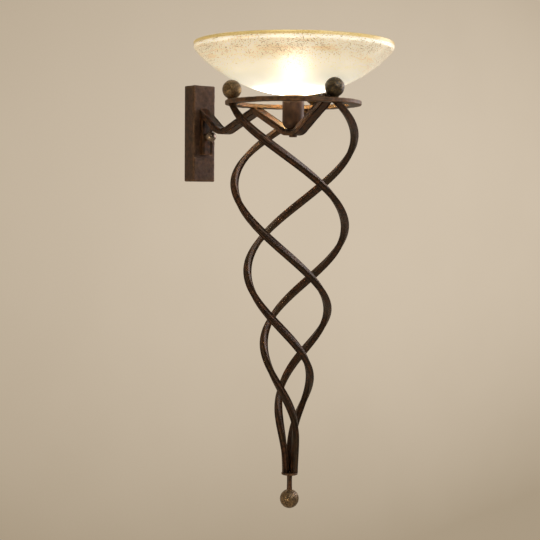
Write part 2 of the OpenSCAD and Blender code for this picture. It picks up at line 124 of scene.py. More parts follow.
class NodeBench:
    """Builds one material's node tree around a Principled shader."""

    def __init__(self, name: str) -> None:
        """Starts an empty tree with a shader and an output.

        Args:
            name: The material's name.
        """
        self.material = bpy.data.materials.new(name)
        self.material.use_nodes = True
        self.tree = self.material.node_tree
        self.tree.nodes.clear()
        self.shader = self._add("BsdfPrincipled")
        self._add("OutputMaterial", Surface=self.shader.outputs["BSDF"])
        self._place = self._add("TexCoord").outputs["Object"]

    def _feed(self, socket: Socket, value: Source) -> None:
        """Links an output to a socket, or sets a plain value on it.

        Args:
            socket: The socket to fill.
            value: The output or the value.
        """
        if isinstance(value, bpy.types.NodeSocket):
            self.tree.links.new(value, socket)
        else:
            socket.default_value = value

    def _add(self, kind: str, *first: Source, **named: Source) -> bpy.types.Node:
        """Adds a node and fills its inputs.

        Args:
            kind: The node's type, without the word ShaderNode.
            first: What its first inputs take, in order.
            named: What inputs take by name, with underscores for spaces.

        Returns:
            The node.
        """
        node = self.tree.nodes.new("ShaderNode" + kind)
        for socket, value in zip(node.inputs, first):
            self._feed(socket, value)
        for name, value in named.items():
            self._feed(node.inputs[name.replace("_", " ")], value)
        return node

    def shade(self, **values: Source) -> None:
        """Fills the shader's own sockets, named with underscores for spaces."""
        for name, value in values.items():
            self._feed(self.shader.inputs[name.replace("_", " ")], value)

    def mapped(self, scale: Sequence[float], centre: Sequence[float] = (0, 0, 0)) -> Socket:
        """Stretches the object coordinates about a point."""
        shift = [-c * s for c, s in zip(centre, scale)]
        return self._add("Mapping", Vector=self._place, Scale=scale, Location=shift).outputs["Vector"]

    def away(self, scale: Sequence[float], centre: Sequence[float]) -> Socket:
        """Measures the distance from a point.

        Args:
            scale: Share of the distance that counts along X, Y and Z.
            centre: The point, in metres.

        Returns:
            The distance.
        """
        node = self._add("VectorMath", self.mapped(scale, centre))
        node.operation = "LENGTH"
        return node.outputs["Value"]

    def height(self) -> Socket:
        """Takes Z out of the object coordinates."""
        return self._add("SeparateXYZ", self._place).outputs["Z"]

    def clouds(self, scale: float, detail: float = 6.0, roughness: float = 0.6,
               distortion: float = 0.0, at: Socket | None = None) -> Socket:
        """Adds soft noise, with scale features in a metre of the object's or of given coordinates."""
        return self._add("TexNoise", Vector=at or self._place, Scale=scale, Detail=detail,
                         Roughness=roughness, Distortion=distortion).outputs["Fac"]

    def cells(self, scale: float) -> Socket:
        """Adds round pits, scale of them in a metre, as the distance from each one's middle."""
        return self._add("TexVoronoi", Vector=self._place, Scale=scale).outputs["Distance"]

    def wear(self) -> Socket:
        """Reads the wear that mark_wear stores at the mesh's points.

        Returns:
            The wear, from 0 to 1.
        """
        node = self._add("Attribute")
        node.attribute_name = WEAR
        return node.outputs["Fac"]

    def _math(self, operation: str, first: Source, second: Source) -> Socket:
        """Combines two numbers.

        Args:
            operation: One of the Math node's operations.
            first: The first number.
            second: The second number.

        Returns:
            The result.
        """
        node = self._add("Math", first, second)
        node.operation = operation
        return node.outputs["Value"]

    def times(self, first: Source, second: Source) -> Socket:
        """Multiplies two numbers."""
        return self._math("MULTIPLY", first, second)

    def plus(self, first: Source, second: Source) -> Socket:
        """Adds two numbers."""
        return self._math("ADD", first, second)

    def rest_of(self, share: Source) -> Socket:
        """Gives what a share leaves of 1."""
        return self._math("SUBTRACT", 1.0, share)

    def spread(self, value: Socket, low: float, high: float, to_low: float = 0.0,
               to_high: float = 1.0, smooth: bool = True) -> Socket:
        """Stretches one range of a value over another.

        Args:
            value: The value to stretch.
            low: The value that becomes to_low.
            high: The value that becomes to_high.
            to_low: Result at low.
            to_high: Result at high.
            smooth: Whether the ends are eased.

        Returns:
            The stretched value.
        """
        node = self._add("MapRange", Value=value, From_Min=low, From_Max=high, To_Min=to_low, To_Max=to_high)
        node.interpolation_type = "SMOOTHSTEP" if smooth else "LINEAR"
        return node.outputs["Result"]

    def ramp(self, value: Socket, *stops: tuple[float, Colour]) -> Socket:
        """Turns a value into colours.

        Args:
            value: The value to colour.
            stops: Places from 0 to 1 with their colours.

        Returns:
            The colour.
        """
        node = self._add("ValToRGB", value)
        marks = node.color_ramp.elements
        while len(marks) < len(stops):
            marks.new(0.5)
        for mark, (place, colour) in zip(marks, stops):
            mark.position = place
            mark.color = (*colour, 1.0)
        return node.outputs["Color"]

    def blend(self, share: Source, first: Source, second: Source, mode: str = "MIX") -> Socket:
        """Lays one colour over another.

        Args:
            share: How much of the second shows, from 0 to 1.
            first: The colour below, a socket or three numbers.
            second: The colour above, a socket or three numbers.
            mode: The Mix node's blend type.

        Returns:
            The mixed colour.
        """
        node = self._add("Mix", share)
        node.data_type = "RGBA"
        node.blend_type = mode
        for socket, colour in ((node.inputs[6], first), (node.inputs[7], second)):
            self._feed(socket, (*colour, 1.0) if isinstance(colour, tuple) else colour)
        return node.outputs[2]

    def relief(self, *layers: tuple[Socket, float, float]) -> None:
        """Gives the shader a bumpy normal.

        Args:
            layers: Each a height, a strength and a depth in metres.
        """
        below = {}
        for height, strength, depth in layers:
            node = self._add("Bump", Height=height, Strength=strength, Distance=depth, **below)
            below = {"Normal": node.outputs["Normal"]}
        self.shade(**below)


# Finishes -------------------------------------------------------------------


class Finish(Protocol):
    """A recipe for the material of one slot."""

    @property
    def slot(self) -> Slot:
        """The slot that it fills."""
        ...

    def make(self) -> bpy.types.Material:
        """Builds the material."""
        ...


@lru_cache(maxsize=None)
def mixed(finish: Finish) -> bpy.types.Material:
    """Makes a finish's material once and keeps it for later pieces."""
    return finish.make()


@dataclass(frozen=True)
class ForgedIron:
    """Hammered iron under a rust-brown and bronze patina, paler on its edges, partly as worn patina and
    partly as painted edge highlights.
    """

    name: str = "forged_iron"
    slot: Slot = Slot.RUST_IRON
    dark: Colour = (0.007, 0.0030, 0.0016)
    brown: Colour = (0.036, 0.0145, 0.0058)
    rust: Colour = (0.108, 0.0400, 0.0140)
    bronze: Colour = (0.074, 0.0460, 0.0175)
    worn: Colour = (0.30, 0.165, 0.080)
    worn_edge_and_highlight_share: float = 0.50

    def make(self) -> bpy.types.Material:
        """Builds the material.

        Returns:
            The material.
        """
        bench = NodeBench(self.name)
        patches = bench.clouds(20.0, 5.0, 0.55, 0.6)
        mottle = bench.clouds(120.0, 5.0, 0.58, 0.4)
        grit = bench.clouds(950.0, 3.0, 0.7)
        colour = bench.ramp(mottle, (0.28, self.dark), (0.48, self.brown), (0.68, self.rust),
                            (0.94, self.worn))
        bronzed = bench.spread(patches, 0.48, 0.66, 0.0, 0.75)
        colour = bench.blend(bronzed, colour, bench.blend(mottle, self.dark, self.bronze))
        colour = bench.blend(bench.spread(grit, 0.62, 0.80, 0.0, 0.20), colour, self.rust)
        # Pale edges: partly worn patina, partly painted highlights along the edges.
        edge = bench.times(bench.wear(), bench.spread(mottle, 0.36, 0.60, 0.35, 1.0))
        colour = bench.blend(bench.times(edge, self.worn_edge_and_highlight_share), colour, self.worn)
        bench.shade(Base_Color=colour, Roughness=bench.spread(mottle, 0.3, 0.75, 0.46, 0.60),
                    Metallic=0.15, Specular_IOR_Level=0.38)
        bench.relief((bench.clouds(110.0, 2.0, 0.45), 0.22, 0.0009), (grit, 0.04, 0.0002))
        return bench.material


@dataclass(frozen=True)
class PatinaBall:
    """Iron balls under a speckled olive-bronze patina."""

    name: str = "patina_ball"
    slot: Slot = Slot.PATINA_IRON
    dark: Colour = (0.008, 0.0055, 0.0030)
    olive: Colour = (0.038, 0.0280, 0.0140)
    bronze: Colour = (0.110, 0.0730, 0.0360)
    pale: Colour = (0.38, 0.30, 0.19)

    def make(self) -> bpy.types.Material:
        """Builds the material.

        Returns:
            The material.
        """
        bench = NodeBench(self.name)
        mottle = bench.clouds(240.0, 9.0, 0.74, 0.5)
        blotches = bench.clouds(70.0, 4.0, 0.6, 0.8)
        colour = bench.ramp(mottle, (0.34, self.dark), (0.47, self.olive), (0.58, self.bronze),
                            (0.70, self.pale))
        bench.shade(Base_Color=bench.blend(bench.spread(blotches, 0.48, 0.64, 0.0, 0.6), colour, self.dark),
                    Roughness=bench.spread(mottle, 0.35, 0.65, 0.50, 0.26),
                    Metallic=bench.spread(mottle, 0.42, 0.62, 0.25, 0.75))
        bench.relief((mottle, 0.7, 0.0009), (bench.cells(520.0), 0.35, 0.0004))
        return bench.material


@dataclass(frozen=True)
class BrownEnamel:
    """The cup's smooth dark rust-brown coat."""

    name: str = "brown_coat"
    slot: Slot = Slot.CUP_IRON
    dark: Colour = (0.011, 0.0046, 0.0024)
    light: Colour = (0.050, 0.0205, 0.0085)
    worn: Colour = (0.24, 0.13, 0.07)

    def make(self) -> bpy.types.Material:
        """Builds the material.

        Returns:
            The material.
        """
        bench = NodeBench(self.name)
        mottle = bench.clouds(90.0, 7.0, 0.62, 0.3)
        colour = bench.ramp(mottle, (0.32, self.dark), (0.68, self.light))
        bench.shade(Base_Color=bench.blend(bench.times(bench.wear(), 0.4), colour, self.worn),
                    Roughness=bench.spread(mottle, 0.3, 0.7, 0.36, 0.52), Metallic=0.45)
        bench.relief((mottle, 0.2, 0.0006), (bench.clouds(1400.0, 2.0), 0.2, 0.0001))
        return bench.material


@dataclass(frozen=True)
class PlainMetal:
    """Turned, drawn or plated metal with fine marks."""

    name: str
    slot: Slot
    colour: Colour
    shade: Colour
    low_roughness: float = 0.22
    high_roughness: float = 0.42
    metallic: float = 1.0

    def make(self) -> bpy.types.Material:
        """Builds the material.

        Returns:
            The material.
        """
        bench = NodeBench(self.name)
        film = bench.spread(bench.clouds(60.0, 5.0, 0.6, 0.4), 0.4, 0.7)
        marks = bench.clouds(1.0, 4.0, 0.6, 0.0, bench.mapped((900.0, 900.0, 120.0)))
        bench.shade(Base_Color=bench.blend(film, self.colour, self.shade), Metallic=self.metallic,
                    Roughness=bench.spread(marks, 0.3, 0.7, self.low_roughness, self.high_roughness))
        bench.relief((marks, 0.15, 0.0001))
        return bench.material


@dataclass(frozen=True)
class SmoothCoat:
    """Glaze, enamel, felt and other coats that are not metal."""

    name: str
    slot: Slot
    colour: Colour
    shade: Colour
    roughness: float
    coat: float = 0.0
    grain: float = 700.0
    grain_depth: float = 0.0001

    def make(self) -> bpy.types.Material:
        """Builds the material.

        Returns:
            The material.
        """
        bench = NodeBench(self.name)
        film = bench.spread(bench.clouds(45.0, 5.0, 0.6, 0.5), 0.4, 0.72)
        grain = bench.clouds(self.grain, 3.0)
        bench.shade(Base_Color=bench.blend(film, self.colour, self.shade),
                    Roughness=bench.spread(grain, 0.3, 0.7, self.roughness * 0.85, self.roughness * 1.15),
                    Coat_Weight=self.coat, Coat_Roughness=0.08)
        bench.relief((grain, 0.25, self.grain_depth))
        return bench.material


@dataclass(frozen=True)
class AmberBowlGlass:
    """Thick cream glass with an amber rim, streaks and dark flecks, lit by the lamp behind it, with the
    lamp's glow through it also painted on as emission.
    """

    name: str = "amber_bowl_glass"
    slot: Slot = Slot.AMBER_GLASS
    axis_y: float = -0.344
    foot_z: float = 0.067
    rim_z: float = 0.172
    band_z: float = 0.165
    lip_z: float = 0.158
    centre_z: float = 0.3355
    sphere_r: float = 0.268
    cream: Colour = (0.94, 0.91, 0.82)
    amber: Colour = (0.72, 0.46, 0.17)
    fleck: Colour = (0.13, 0.11, 0.04)
    edge: Colour = (0.70, 0.55, 0.22)
    # Painted light: a pale highlight band just under the rim, and the rim band's amber glow.
    lip_highlight_glow: Colour = (0.125, 0.119, 0.103)
    edge_glow: Colour = (0.059, 0.048, 0.021)
    # Strength of the painted glow, and how much brighter it is at the foot.
    strength: float = 3.8
    foot_gain: float = 2.6

    def make(self) -> bpy.types.Material:
        """Builds the material.

        Returns:
            The material.
        """
        bench = NodeBench(self.name)
        level = bench.height()
        radius = bench.away((1.0, 1.0, 0.0), (0.0, self.axis_y, 0.0))
        clouds = bench.clouds(9.0, 5.0, 0.6, 0.9)
        streaks = bench.clouds(1.0, 5.0, 0.62, 0.4, bench.mapped((8.0, 8.0, 62.0)))
        grain = bench.clouds(520.0, 2.0, 0.6)
        flecks = self._flecks(bench, grain, level)
        stain = bench.times(bench.spread(streaks, 0.42, 0.72), bench.spread(radius, 0.12, 0.19, 0.0, 0.62))
        # The amber band at the rim: its base colour is the glass edge's own amber, its emission a painted
        # glow.
        rim = bench.times(bench.spread(level, self.band_z - 0.0012, self.band_z + 0.0012),
                          bench.spread(grain, 0.36, 0.56, 0.70, 1.0))
        # A painted highlight: a thin pale band of glow just under the rim.
        lip = bench.times(bench.spread(level, self.lip_z - 0.001, self.lip_z + 0.001), bench.rest_of(rim))
        colour = bench.blend(stain, self.cream, self.amber)
        colour = bench.blend(bench.times(flecks, 0.85), colour, self.fleck)
        glow = bench.blend(bench.times(lip, 0.85), self._painted_lamp_glow(bench, radius), self.lip_highlight_glow)
        glow = bench.blend(rim, glow, self.edge_glow)
        tint = bench.blend(stain, (1.0, 1.0, 1.0), (0.92, 0.72, 0.40))
        tint = bench.blend(bench.times(flecks, 0.80), tint, (0.38, 0.40, 0.30))
        cloudy = bench.blend(1.0, tint, (0.90, 0.84, 0.72), "MULTIPLY")
        tint = bench.blend(bench.spread(clouds, 0.40, 0.72, 0.0, 0.3), tint, cloudy)
        bench.shade(Base_Color=bench.blend(rim, colour, self.edge),
                    IOR=1.45, Coat_Weight=0.25, Coat_Roughness=0.15,
                    Roughness=bench.spread(grain, 0.3, 0.7, 0.36, 0.50),
                    Transmission_Weight=bench.spread(flecks, 0.0, 1.0, 0.50, 0.05),
                    # The emission is painted glow that stands in for the lamp's light coming through the
                    # glass.
                    Emission_Color=bench.blend(1.0, glow, tint, "MULTIPLY"),
                    Emission_Strength=self._painted_glow_strength(bench, radius))
        bench.relief((clouds, 0.10, 0.0012), (grain, 0.20, 0.0003))
        return bench.material

    def _flecks(self, bench: NodeBench, grain: Socket, level: Socket) -> Socket:
        """Scatters the dark flecks, closer together towards the rim.

        Args:
            bench: The material's bench.
            grain: Fine noise, whose peaks are the flecks.
            level: Height above the frame's origin.

        Returns:
            1 on a fleck and 0 between them.
        """
        height = bench.spread(level, self.foot_z, self.rim_z, smooth=False)
        swarms = bench.spread(bench.clouds(30.0, 3.0, 0.6), 0.30, 0.60, 0.45, 1.0)
        crowd = bench.times(swarms, bench.spread(height, 0.25, 0.85))
        return bench.spread(bench.plus(grain, bench.times(crowd, 0.10)), 0.630, 0.670)

    @staticmethod
    def _painted_lamp_glow(bench: NodeBench, radius: Socket) -> Socket:
        """Paints the lamp's glow as emission that fades from the bowl's foot to its rim.

        Args:
            bench: The material's bench.
            radius: Distance from the torch's axis.

        Returns:
            The light's colour.
        """
        share = bench.spread(radius, 0.040, 0.205, smooth=False)
        return bench.ramp(share, (0.0, (1.0, 0.88, 0.68)), (0.16, (0.42, 0.39, 0.34)),
                          (0.30, (0.104, 0.103, 0.097)), (0.55, (0.075, 0.073, 0.062)),
                          (1.0, (0.060, 0.049, 0.034)))

    def _painted_glow_strength(self, bench: NodeBench, radius: Socket) -> Socket:
        """Makes the painted glow brighter at the foot, and dimmer on the bowl's inner face than on its outer
        one.

        Args:
            bench: The material's bench.
            radius: Distance from the torch's axis.

        Returns:
            The strength of the light.
        """
        depth = bench.away((1.0, 1.0, 1.0), (0.0, self.axis_y, self.centre_z))
        within = bench.times(bench.spread(depth, self.sphere_r - 0.0040, self.sphere_r - 0.0015, 1.0, 0.0),
                             bench.spread(radius, 0.06, 0.18, 0.94, 0.35))
        power = bench.spread(radius, 0.040, 0.088, self.strength * self.foot_gain, self.strength)
        return bench.times(power, bench.rest_of(within))


@dataclass(frozen=True)
class LitGlass:
    """Frosted or clear glass of the bulb, and its glowing wire."""

    name: str
    slot: Slot
    colour: Colour
    glow: Colour
    strength: float
    roughness: float = 0.4
    see_through: float = 0.0

    def make(self) -> bpy.types.Material:
        """Builds the material.

        Returns:
            The material.
        """
        bench = NodeBench(self.name)
        grain = bench.clouds(420.0, 3.0)
        shade = tuple(0.94 * c for c in self.colour)
        colour = bench.blend(bench.spread(grain, 0.35, 0.7), self.colour, shade)
        bench.shade(Base_Color=colour, Emission_Color=(*self.glow, 1.0), Emission_Strength=self.strength,
                    Transmission_Weight=self.see_through, IOR=1.5,
                    Roughness=bench.spread(grain, 0.3, 0.7, self.roughness * 0.85, self.roughness * 1.15))
        bench.relief((grain, 0.1, 0.0001))
        return bench.material


FORGED = ForgedIron()
PLATE_IRON = ForgedIron("plate_iron", dark=(0.030, 0.0170, 0.0125), brown=(0.068, 0.037, 0.026),
                        rust=(0.112, 0.059, 0.038), bronze=(0.088, 0.060, 0.034), worn_edge_and_highlight_share=0.35)
PATINA = PatinaBall()
# A paler copy of the ball patina for the left ball and the tip ball, while the front and right balls keep the
# darker one. The difference is partly patina and partly painted light on the balls that catch more of it.
PALE_LIT_PATINA = PatinaBall("pale_lit_patina_ball", dark=(0.026, 0.0165, 0.0088), olive=(0.120, 0.0790, 0.0390),
                         bronze=(0.300, 0.1950, 0.1000), pale=(0.64, 0.49, 0.31))
CUP_COAT = BrownEnamel()
NUT_IRON = PlainMetal("rubbed_nut", Slot.PATINA_IRON, (0.34, 0.27, 0.22), (0.15, 0.105, 0.08),
                      0.16, 0.34, 0.75)
BRASS = PlainMetal("turned_brass", Slot.BRASS, (0.72, 0.52, 0.22), (0.50, 0.34, 0.13))
ZINC = PlainMetal("zinc_plate", Slot.ZINC_STEEL, (0.66, 0.67, 0.66), (0.52, 0.54, 0.55), 0.30, 0.50)
BASE_METAL = PlainMetal("drawn_base", Slot.BULB_METAL, (0.78, 0.78, 0.76), (0.62, 0.62, 0.60), 0.18, 0.32)
SOLDER = PlainMetal("solder", Slot.SOLDER, (0.60, 0.59, 0.56), (0.42, 0.41, 0.40), 0.35, 0.55)
GREEN_SCREW = PlainMetal("green_screw", Slot.GROUND_GREEN, (0.04, 0.24, 0.09), (0.02, 0.15, 0.05),
                         0.30, 0.45, 0.7)
PORCELAIN = SmoothCoat("glazed_porcelain", Slot.PORCELAIN, (0.88, 0.86, 0.81), (0.80, 0.77, 0.70), 0.14, 0.6)
ENAMEL = SmoothCoat("white_enamel", Slot.WHITE_STEEL, (0.82, 0.82, 0.79), (0.74, 0.73, 0.69), 0.28, 0.3)
GASKET = SmoothCoat("gasket_felt", Slot.GASKET_FELT, (0.80, 0.77, 0.70), (0.66, 0.62, 0.54),
                    0.85, grain=1500.0, grain_depth=0.0003)
BLACK_GLASS = SmoothCoat("black_base_glass", Slot.BULB_INSULATOR, (0.012, 0.010, 0.016),
                         (0.025, 0.020, 0.030), 0.12, 0.5)
BOWL_GLASS = AmberBowlGlass()
FROST = LitGlass("frosted_bulb", Slot.BULB_FROST, (0.95, 0.93, 0.88), (1.0, 0.95, 0.85), 7.0)
MOUNT_GLASS = LitGlass("mount_glass", Slot.BULB_MOUNT_GLASS, (0.88, 0.92, 0.91), (0.0, 0.0, 0.0), 0.0,
                       roughness=0.08, see_through=0.8)
GLOWING_WIRE = LitGlass("glowing_wire", Slot.FILAMENT, (0.85, 0.62, 0.30), (1.0, 0.62, 0.22), 6.0)


# Mesh tools -----------------------------------------------------------------


@dataclass(frozen=True)
class Piece:
    """What a finished mesh is called, the CAD node it stands for and the body it rides on."""

    name: str
    node: str
    body: Body = Body.FIXTURE
    sharp_angle: float = math.radians(38)


def linked(name: str, data: bpy.types.ID) -> bpy.types.Object:
    """Adds an object to the scene.

    Args:
        name: The object's name.
        data: Its mesh, light or camera.

    Returns:
        The object.
    """
    made = bpy.data.objects.new(name, data)
    bpy.context.scene.collection.objects.link(made)
    return made


def meshed(name: str, shape: Mesh, material: bpy.types.Material) -> bpy.types.Object:
    """Turns a bmesh into an object of one material.

    Args:
        name: The object's name.
        shape: The mesh, in the row frame. It is freed.
        material: The material.

    Returns:
        The object.
    """
    mesh = bpy.data.meshes.new(name)
    shape.to_mesh(mesh)
    shape.free()
    mesh.materials.append(material)
    return linked(name, mesh)


def deliver(shape: Mesh, piece: Piece, finish: Finish, place: Matrix = IN_PLACE) -> bpy.types.Object:
    """Turns a bmesh into a dressed piece of the sconce.

    Args:
        shape: The mesh. It is freed.
        piece: The piece's name, CAD node and body.
        finish: What it is made of.
        place: The mesh's placement in the row frame.

    Returns:
        The new object.
    """
    bmesh.ops.transform(shape, matrix=place, verts=shape.verts[:])
    made = meshed(piece.name, shape, mixed(finish))
    made.data.shade_smooth()
    made.data.set_sharp_from_angle(angle=piece.sharp_angle)
    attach(made, piece.body.value)
    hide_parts(piece.node)
    LOG.info("%s: %d faces, rides on %s", piece.name, len(made.data.polygons), piece.body.value)
    return made


def dress(node: str, finish: Finish) -> None:
    """Gives a CAD node that is shown a finish.

    Args:
        node: The node's name.
        finish: What it is made of.
    """
    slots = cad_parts[node].data.materials
    slots.clear()
    slots.append(mixed(finish))
    LOG.info("%s: the packed solid, with %s", node, mixed(finish).name)


def close_up(shape: Mesh) -> None:
    """Merges doubled points and turns the faces outwards."""
    bmesh.ops.remove_doubles(shape, verts=shape.verts[:], dist=1e-6)
    bmesh.ops.recalc_face_normals(shape, faces=shape.faces[:])


def arc(centre: Point2, radius: float, start: float, end: float, steps: int) -> Outline:
    """Places points in even steps along part of a circle, from one angle in degrees to another."""
    turns = (math.radians(start + (end - start) * k / steps) for k in range(steps + 1))
    return [(centre[0] + radius * math.cos(a), centre[1] + radius * math.sin(a)) for a in turns]


def stepped(outline: Outline, step: float) -> Outline:
    """Adds points to the long straights of an outline.

    Args:
        outline: The outline's points.
        step: The longest distance to leave between two points.

    Returns:
        The finer outline.
    """
    fine = [outline[0]]
    for (r0, z0), (r1, z1) in zip(outline, outline[1:]):
        parts = max(1, math.ceil(math.hypot(r1 - r0, z1 - z0) / step))
        fine += [(r0 + (r1 - r0) * k / parts, z0 + (z1 - z0) * k / parts) for k in range(1, parts + 1)]
    return fine


def turned(outline: Outline, segments: int, closed: bool = False) -> Mesh:
    """Spins an outline of (radius, height) points about the Z axis.

    Args:
        outline: The points, in metres.
        segments: Number of steps round the axis.
        closed: Whether the last point joins the first.

    Returns:
        The closed shape.
    """
    shape = bmesh.new()
    points = [shape.verts.new((max(r, 0.0), 0.0, z)) for r, z in outline]
    lines = [shape.edges.new(pair) for pair in zip(points, points[1:])]
    if closed:
        lines.append(shape.edges.new((points[-1], points[0])))
    bmesh.ops.spin(shape, geom=[*points, *lines], cent=(0, 0, 0), axis=(0, 0, 1), angle=FULL_TURN,
                   steps=segments, use_merge=True, use_duplicate=False)
    close_up(shape)
    return shape


def above_foot(point: Vector) -> float:
    """Holds a turned shape's foot still under the hammer, over its lowest 2 mm."""
    return unit(point.z / 0.002)


def drawn_out(shape: Mesh, end: Faces) -> tuple[Faces, list[bmesh.types.BMVert]]:
    """Extrudes the end of a bar, without moving it yet.

    Args:
        shape: The bar.
        end: The faces at its end.

    Returns:
        The faces and the points of the new end.
    """
    grown = bmesh.ops.extrude_face_region(shape, geom=end)["geom"]
    return ([g for g in grown if isinstance(g, bmesh.types.BMFace)],
            [g for g in grown if isinstance(g, bmesh.types.BMVert)])


def slice_off(shape: Mesh, point: Sequence[float], normal: Sequence[float]) -> None:
    """Cuts away what lies beyond a plane and closes the cut.

    Args:
        shape: The shape to cut.
        point: A point of the plane.
        normal: The direction of what goes.
    """
    cut = bmesh.ops.bisect_plane(shape, geom=[*shape.verts, *shape.edges, *shape.faces], dist=1e-7,
                                 plane_co=point, plane_no=normal, clear_outer=True)
    rim = [g for g in cut["geom_cut"] if isinstance(g, bmesh.types.BMEdge)]
    bmesh.ops.holes_fill(shape, edges=rim, sides=0)


def round_corners(shape: Mesh, offset: float, segments: int, sharpest: float = 60.0,
                  test: Callable[[bmesh.types.BMEdge], bool] = lambda edge: True) -> None:
    """Bevels the sharp edges of a shape.

    Args:
        shape: The shape to bevel.
        offset: Width of the bevel on each face.
        segments: Number of steps across it.
        sharpest: Edges that turn by more degrees than this are bevelled.
        test: Which of them to take.
    """
    sharp = [e for e in shape.edges
             if len(e.link_faces) == 2 and e.calc_face_angle(0.0) > math.radians(sharpest) and test(e)]
    bmesh.ops.bevel(shape, geom=sharp, offset=offset, offset_type="OFFSET", segments=segments,
                    profile=0.5, affect="EDGES", material=-1, clamp_overlap=True)


def mark_wear(shape: Mesh, gain: float, blur: int = 2) -> None:
    """Stores at each point how far it stands out, for the worn paint on edges, which the forged iron also
    uses for painted edge highlights.

    Args:
        shape: The shape to mark.
        gain: Wear for each radian that the faces turn round a point.
        blur: How many times the marks are spread to their neighbours.
    """
    layer = shape.verts.layers.float.new(WEAR)
    marks = {}
    for v in shape.verts:
        turns = (e.calc_face_angle_signed(0.0) for e in v.link_edges if len(e.link_faces) == 2)
        marks[v] = unit(gain * sum(turns))
    for _ in range(blur):
        around = {v: sum(marks[e.other_vert(v)] for e in v.link_edges) / len(v.link_edges) for v in marks}
        marks = {v: max(WEAR_KEPT * marks[v], around[v]) for v in marks}
    for v, mark in marks.items():
        v[layer] = mark


@dataclass(frozen=True)
class Hammer:
    """A smith's hammer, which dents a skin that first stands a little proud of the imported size."""

    dent: float
    depth: float
    ripple: float = 0.0
    seed: float = 0.0
    proud: float = 0.0

    def beat(self, shape: Mesh, hold: Callable[[Vector], float] = lambda point: 1.0) -> None:
        """Presses shallow round dents and uneven ripples into a shape.

        Args:
            shape: The shape to beat.
            hold: For a point, from 0 where the shape is left alone to 1.
        """
        shape.normal_update()
        shift = Vector((self.seed, 1.7 * self.seed, -0.6 * self.seed))
        for v in shape.verts:
            near = noise.voronoi(v.co / self.dent + shift)[0][0]
            bowl = self.depth * max(0.0, 1.0 - near * near * 1.6)
            swell = self.ripple * (0.5 + 0.5 * noise.noise(v.co / (self.dent * 2.6) - shift))
            v.co -= v.normal * (bowl + swell - self.proud) * hold(v.co)


def thread(shape: Mesh, radius: float, pitch: float, depth: float, low: float, high: float) -> None:
    """Rolls a thread into the round wall of a turned shape.

    Args:
        shape: The shape, upright and centred on the Z axis.
        radius: Radius of the wall that takes the thread.
        pitch: Distance between two crests.
        depth: Depth of the roots.
        low: Height where the thread begins.
        high: Height where it ends.
    """
    for v in shape.verts:
        reach = math.hypot(v.co.x, v.co.y)
        if abs(reach - radius) > 2e-5 or not low - 1e-6 <= v.co.z <= high + 1e-6:
            continue
        ease = min(1.0, (v.co.z - low) / pitch, (high - v.co.z) / pitch)
        wave = 0.5 + 0.5 * math.cos(FULL_TURN * (v.co.z - low) / pitch - math.atan2(v.co.y, v.co.x))
        scale = (reach - depth * max(0.0, ease) * (1.0 - wave)) / reach
        v.co.x *= scale
        v.co.y *= scale


def threaded_rod(radius: float, length: float, pitch: float, depth: float, chamfer: float, cuts: int) -> Mesh:
    """Turns a rod that is threaded from end to end.

    Args:
        radius: The rod's radius.
        length: The rod's length.
        pitch: Distance between two crests.
        depth: Depth of the roots.
        chamfer: Width of the chamfer at both ends.
        cuts: Number of points for each crest.

    Returns:
        The rod, upright on the origin.
    """
    outline = [(0, 0), (radius - chamfer, 0), (radius, chamfer), (radius, length - chamfer),
               (radius - chamfer, length), (0, length)]
    shape = turned(stepped(outline, pitch / cuts), 32)
    thread(shape, radius, pitch, depth, chamfer, length - chamfer)
    return shape


def girth(node: str) -> tuple[float, float, float]:
    """Reads an upright round CAD node's foot in the row frame, its radius and its own height."""
    low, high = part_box(node)
    return low.z, (high.x - low.x) / 2, high.z - low.z


# Layout ---------------------------------------------------------------------


@dataclass(frozen=True)
class Layout:
    """Sizes and places that several sub-assemblies share."""

    reach: float = 0.344
    ring_z: float = 0.0475
    ring_t: float = 0.0085
    ring_in: float = 0.112
    ring_out: float = 0.1375
    arm_w: float = 0.025
    arm_t: float = 0.012
    stud_z: float = -0.007
    plate_d: float = 0.035
    first_ball: float = -90.0
    thread_pitch: float = 0.003629
    thread_depth: float = 0.0006

    @property
    def ring_mid(self) -> float:
        """Radius of the ring band's middle."""
        return (self.ring_in + self.ring_out) / 2

    @property
    def ring_top(self) -> float:
        """Height of the ring's top face."""
        return self.ring_z + self.ring_t

    def on_axis(self, z: float = 0.0, angle: float = 0.0) -> Matrix:
        """Placement on the torch's upright axis, at a height and turned by degrees."""
        return Matrix.Translation((0.0, -self.reach, z)) @ Matrix.Rotation(math.radians(angle), 4, "Z")

    def from_wall(self, distance: float = 0.0) -> Matrix:
        """Placement of an upright shape that is laid to point from the wall along the stud."""
        return Matrix.Translation((0.0, -distance, self.stud_z)) @ Matrix.Rotation(math.pi / 2, 4, "X")


LAYOUT = Layout()


# Sub-assemblies -------------------------------------------------------------


